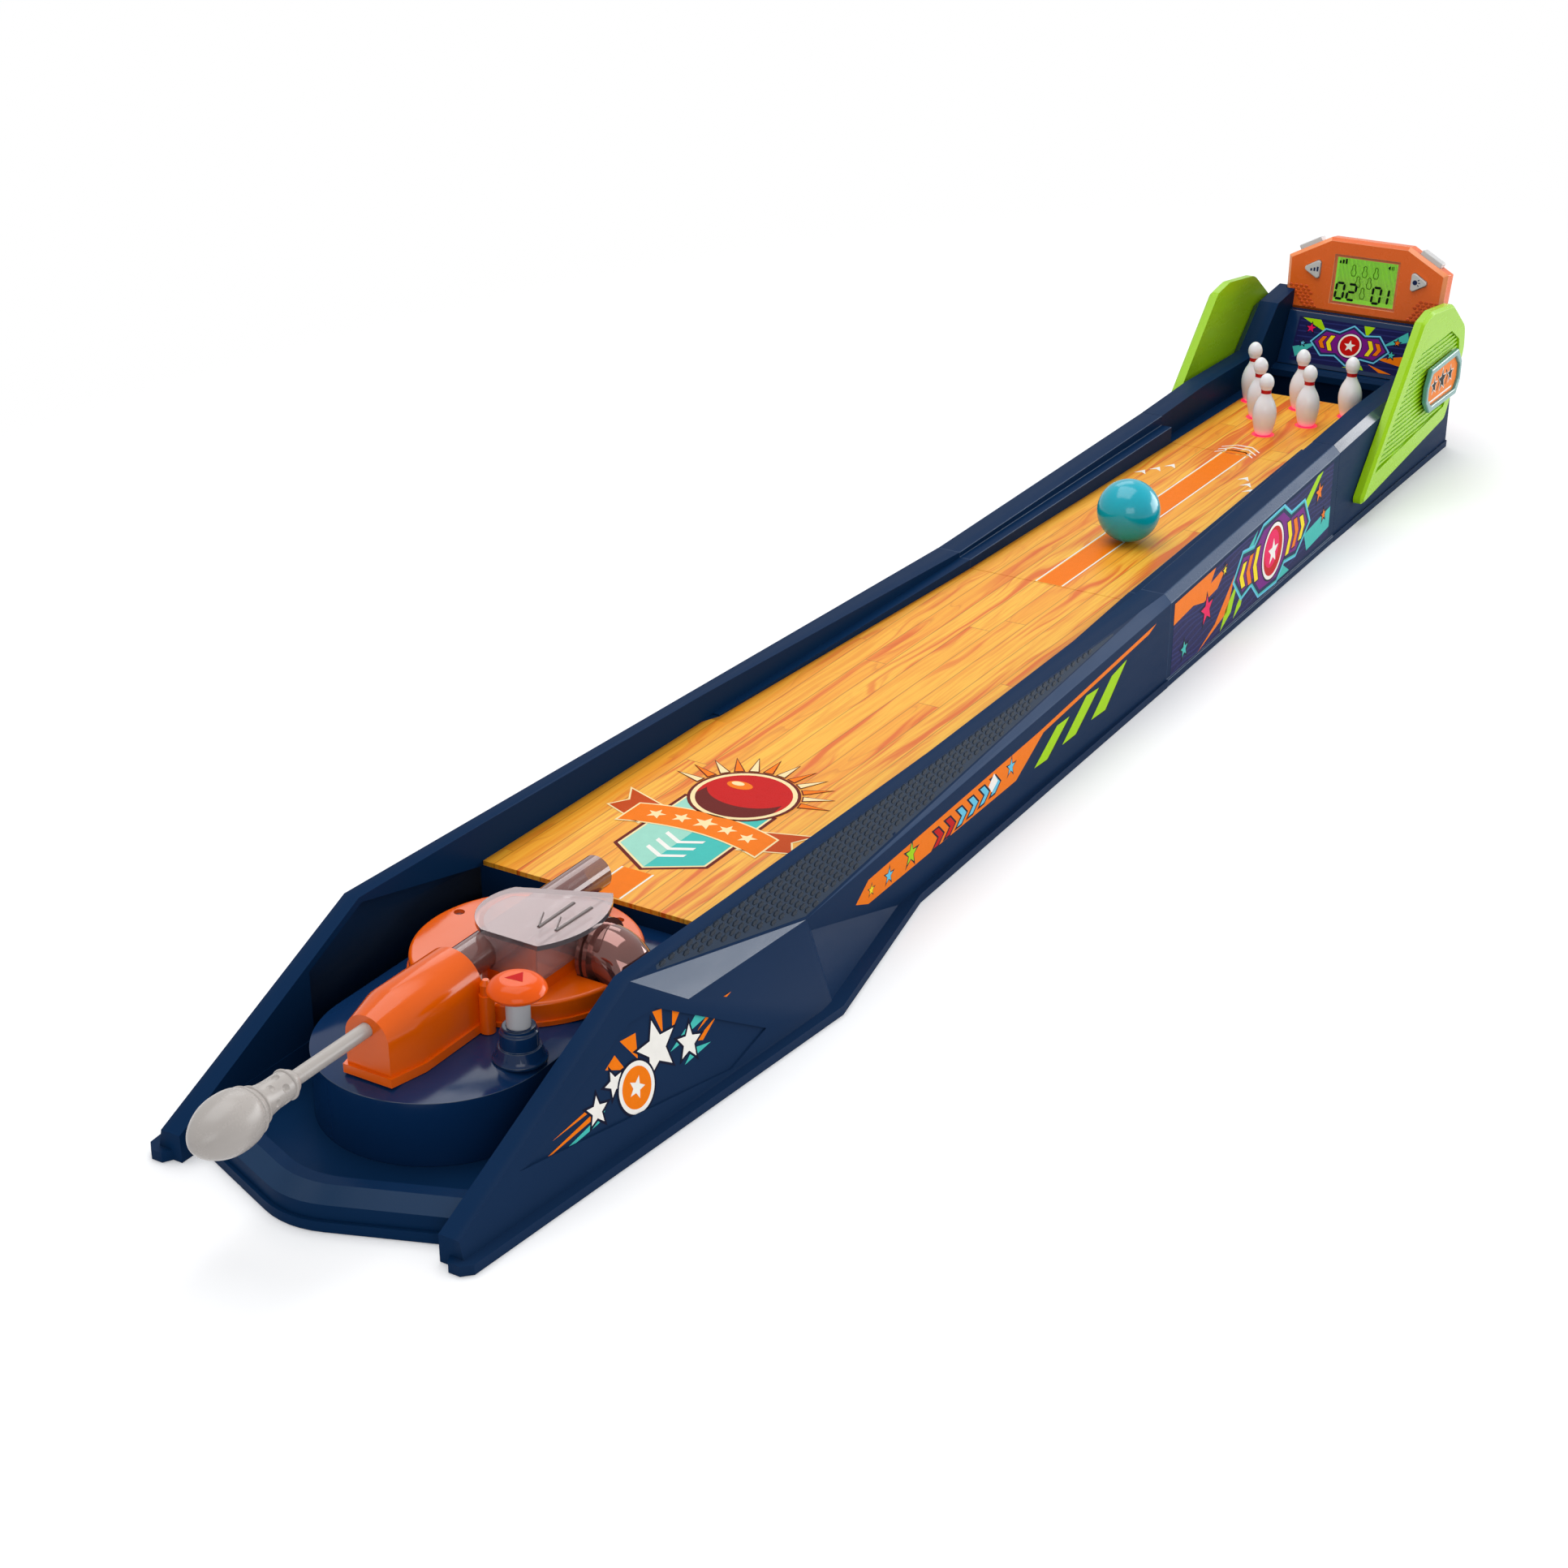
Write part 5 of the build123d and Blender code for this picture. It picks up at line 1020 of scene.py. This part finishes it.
# Marks on the launcher and the plaques
def cover_ticks():
    """Two embossed ticks on the chamber cover."""
    cover_z = 63.5
    bm = bmesh.new()
    for path in ([(14.2, -447.8), (19.0, -457.6), (19.1, -435.6)],
                 [(21.6, -447.4), (26.0, -456.6), (26.8, -435.2)]):
        for start, end, half in zip(path, path[1:], (0.32, 0.85)):
            low, high = ([bm.verts.new(mm(x, y, cover_z + rise)) for x, y in oblong(start, end, width)]
                         for width, rise in ((half, 0.01), (half / 2, 0.5)))
            for k in range(4):
                bm.faces.new([low[k], low[(k + 1) % 4], high[(k + 1) % 4], high[k]])
            bm.faces.new(high)
    bmesh.ops.recalc_face_normals(bm, faces=bm.faces)
    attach(mesh_object("cover_ticks", bm, [TICK]), "turret")


def knob_arrow():
    sheet = Sheet("knob_arrow", mm(36, -494, 65.0), X, Y, body="knob")
    sheet.add("red", [(-3.8, -1.9), (3.4, -1.0), (-0.6, 4.8)])
    sheet.build()


def plaque_print():
    """Stars and chevrons on the plaques, which turn with the wall about its corner at the rear joint."""
    wall_half, clearance, fin, seat, insert = 62.0, 0.3, 6.0, 0.08, 1.4
    out, along = clearance + fin + seat + insert, 393 - REAR_JOINT_Y
    turn = math.atan2(2, 200)
    s, c = math.sin(turn), math.cos(turn)
    origin = mm(wall_half + out * c - along * s, REAR_JOINT_Y + out * s + along * c, 55)
    sheet = Sheet("plaque_print", origin, Vector((-s, c, 0)), Z, mirrored=True)
    sheet.add("white", [(-22, -8.2), (20, -8.6), (20, -7.4), (-22, -7.0)])
    for a, r in ((-15, 5.0), (0, 6.8), (15, 5.0)):
        sheet.outlined("black", star(a, 1.0, r), 0, "white", 0.5)
    for a in (-9.2, 6.0):
        sheet.add("black", chevron(a, 1.0, 3.2, 1.4, 4.5, 4.5))
    sheet.build()


lane_stripes()
lane_badge()
wall_streak()
wall_sticker()
panel_print()
back_sticker()
wall_scales()
wall_band()
lcd_marks()
button_marks()
score_scales()
cover_ticks()
knob_arrow()
plaque_print()


# Stage
def floor():
    """Pale floor that fades into the white background away from the object."""
    size, z = 3.0, -0.0002
    bm = bmesh.new()
    bm.faces.new([bm.verts.new((x, y, z)) for x, y in rect(-size, -size, size, size)])
    t = Tree("floor")
    x, y, z = t.xyz()
    away = t.math("SQRT", t.add(t.math("POWER", x, 2.0), t.math("POWER", t.times(y, 0.62), 2.0)))
    t.set(Base_Color=(0.86, 0.86, 0.86, 1.0), Roughness=0.7, IOR=1.3)
    t.set(Alpha=t.ramp(away, 0.38, 0.75, 1.0, 0.0))
    t.set(Emission_Color=(1.0, 1.0, 1.0, 1.0), Emission_Strength=t.times(t.seen(), 0.2))
    mesh_object("floor", bm, [t.mat])


def studio():
    """Pale light from all round, white where the surroundings are seen."""
    world = bpy.data.worlds.new("studio")
    bpy.context.scene.world = world
    world.use_nodes = True
    t = Nodes(world.node_tree)
    mixer = t.nodes.new("ShaderNodeMixShader")
    t.put(mixer.inputs[0], t.seen())
    for index, colour, strength in ((1, (0.92, 0.95, 1.0, 1.0), 0.45), (2, (1.0, 1.0, 1.0, 1.0), 1.0)):
        background = t.nodes.new("ShaderNodeBackground")
        t.put(background.inputs["Color"], colour)
        t.put(background.inputs["Strength"], strength)
        t.put(mixer.inputs[index], background.outputs[0])
    t.put(t.nodes.new("ShaderNodeOutputWorld").inputs["Surface"], mixer.outputs[0])


def area(name, place, target, size, size_y, power):
    light = bpy.data.lights.new(name, "AREA")
    light.shape = "RECTANGLE"
    light.size = size
    light.size_y = size_y
    light.energy = power
    obj = bpy.data.objects.new(name, light)
    obj.location = place
    obj.rotation_euler = (Vector(target) - Vector(place)).to_track_quat("-Z", "Y").to_euler()
    bpy.context.scene.collection.objects.link(obj)


floor()
studio()
area("key", (-0.4, 0.0, 2.2), (0, 0, 0), 2.0, 2.0, 32)
area("right_back", (2.4, 3.3, 0.55), (0, 0, 0.1), 3.4, 2.0, 104)
area("left_back", (-1.5, 2.2, 2.1), (0, -0.2, 0.0), 1.8, 1.2, 12)
area("front", (1.1, -1.8, 0.8), (0, -0.2, 0.05), 1.2, 0.8, 7)

camera_data = bpy.data.cameras.new("camera")
camera_data.sensor_width = 36
camera_data.lens = 61.83
camera = bpy.data.objects.new("camera", camera_data)
camera.location = (0.5383, -1.0618, 0.5262)
camera.rotation_euler = (math.radians(64.68), 0, math.radians(31.16))
bpy.context.scene.collection.objects.link(camera)
bpy.context.scene.camera = camera
bpy.context.scene.view_settings.view_transform = "Standard"
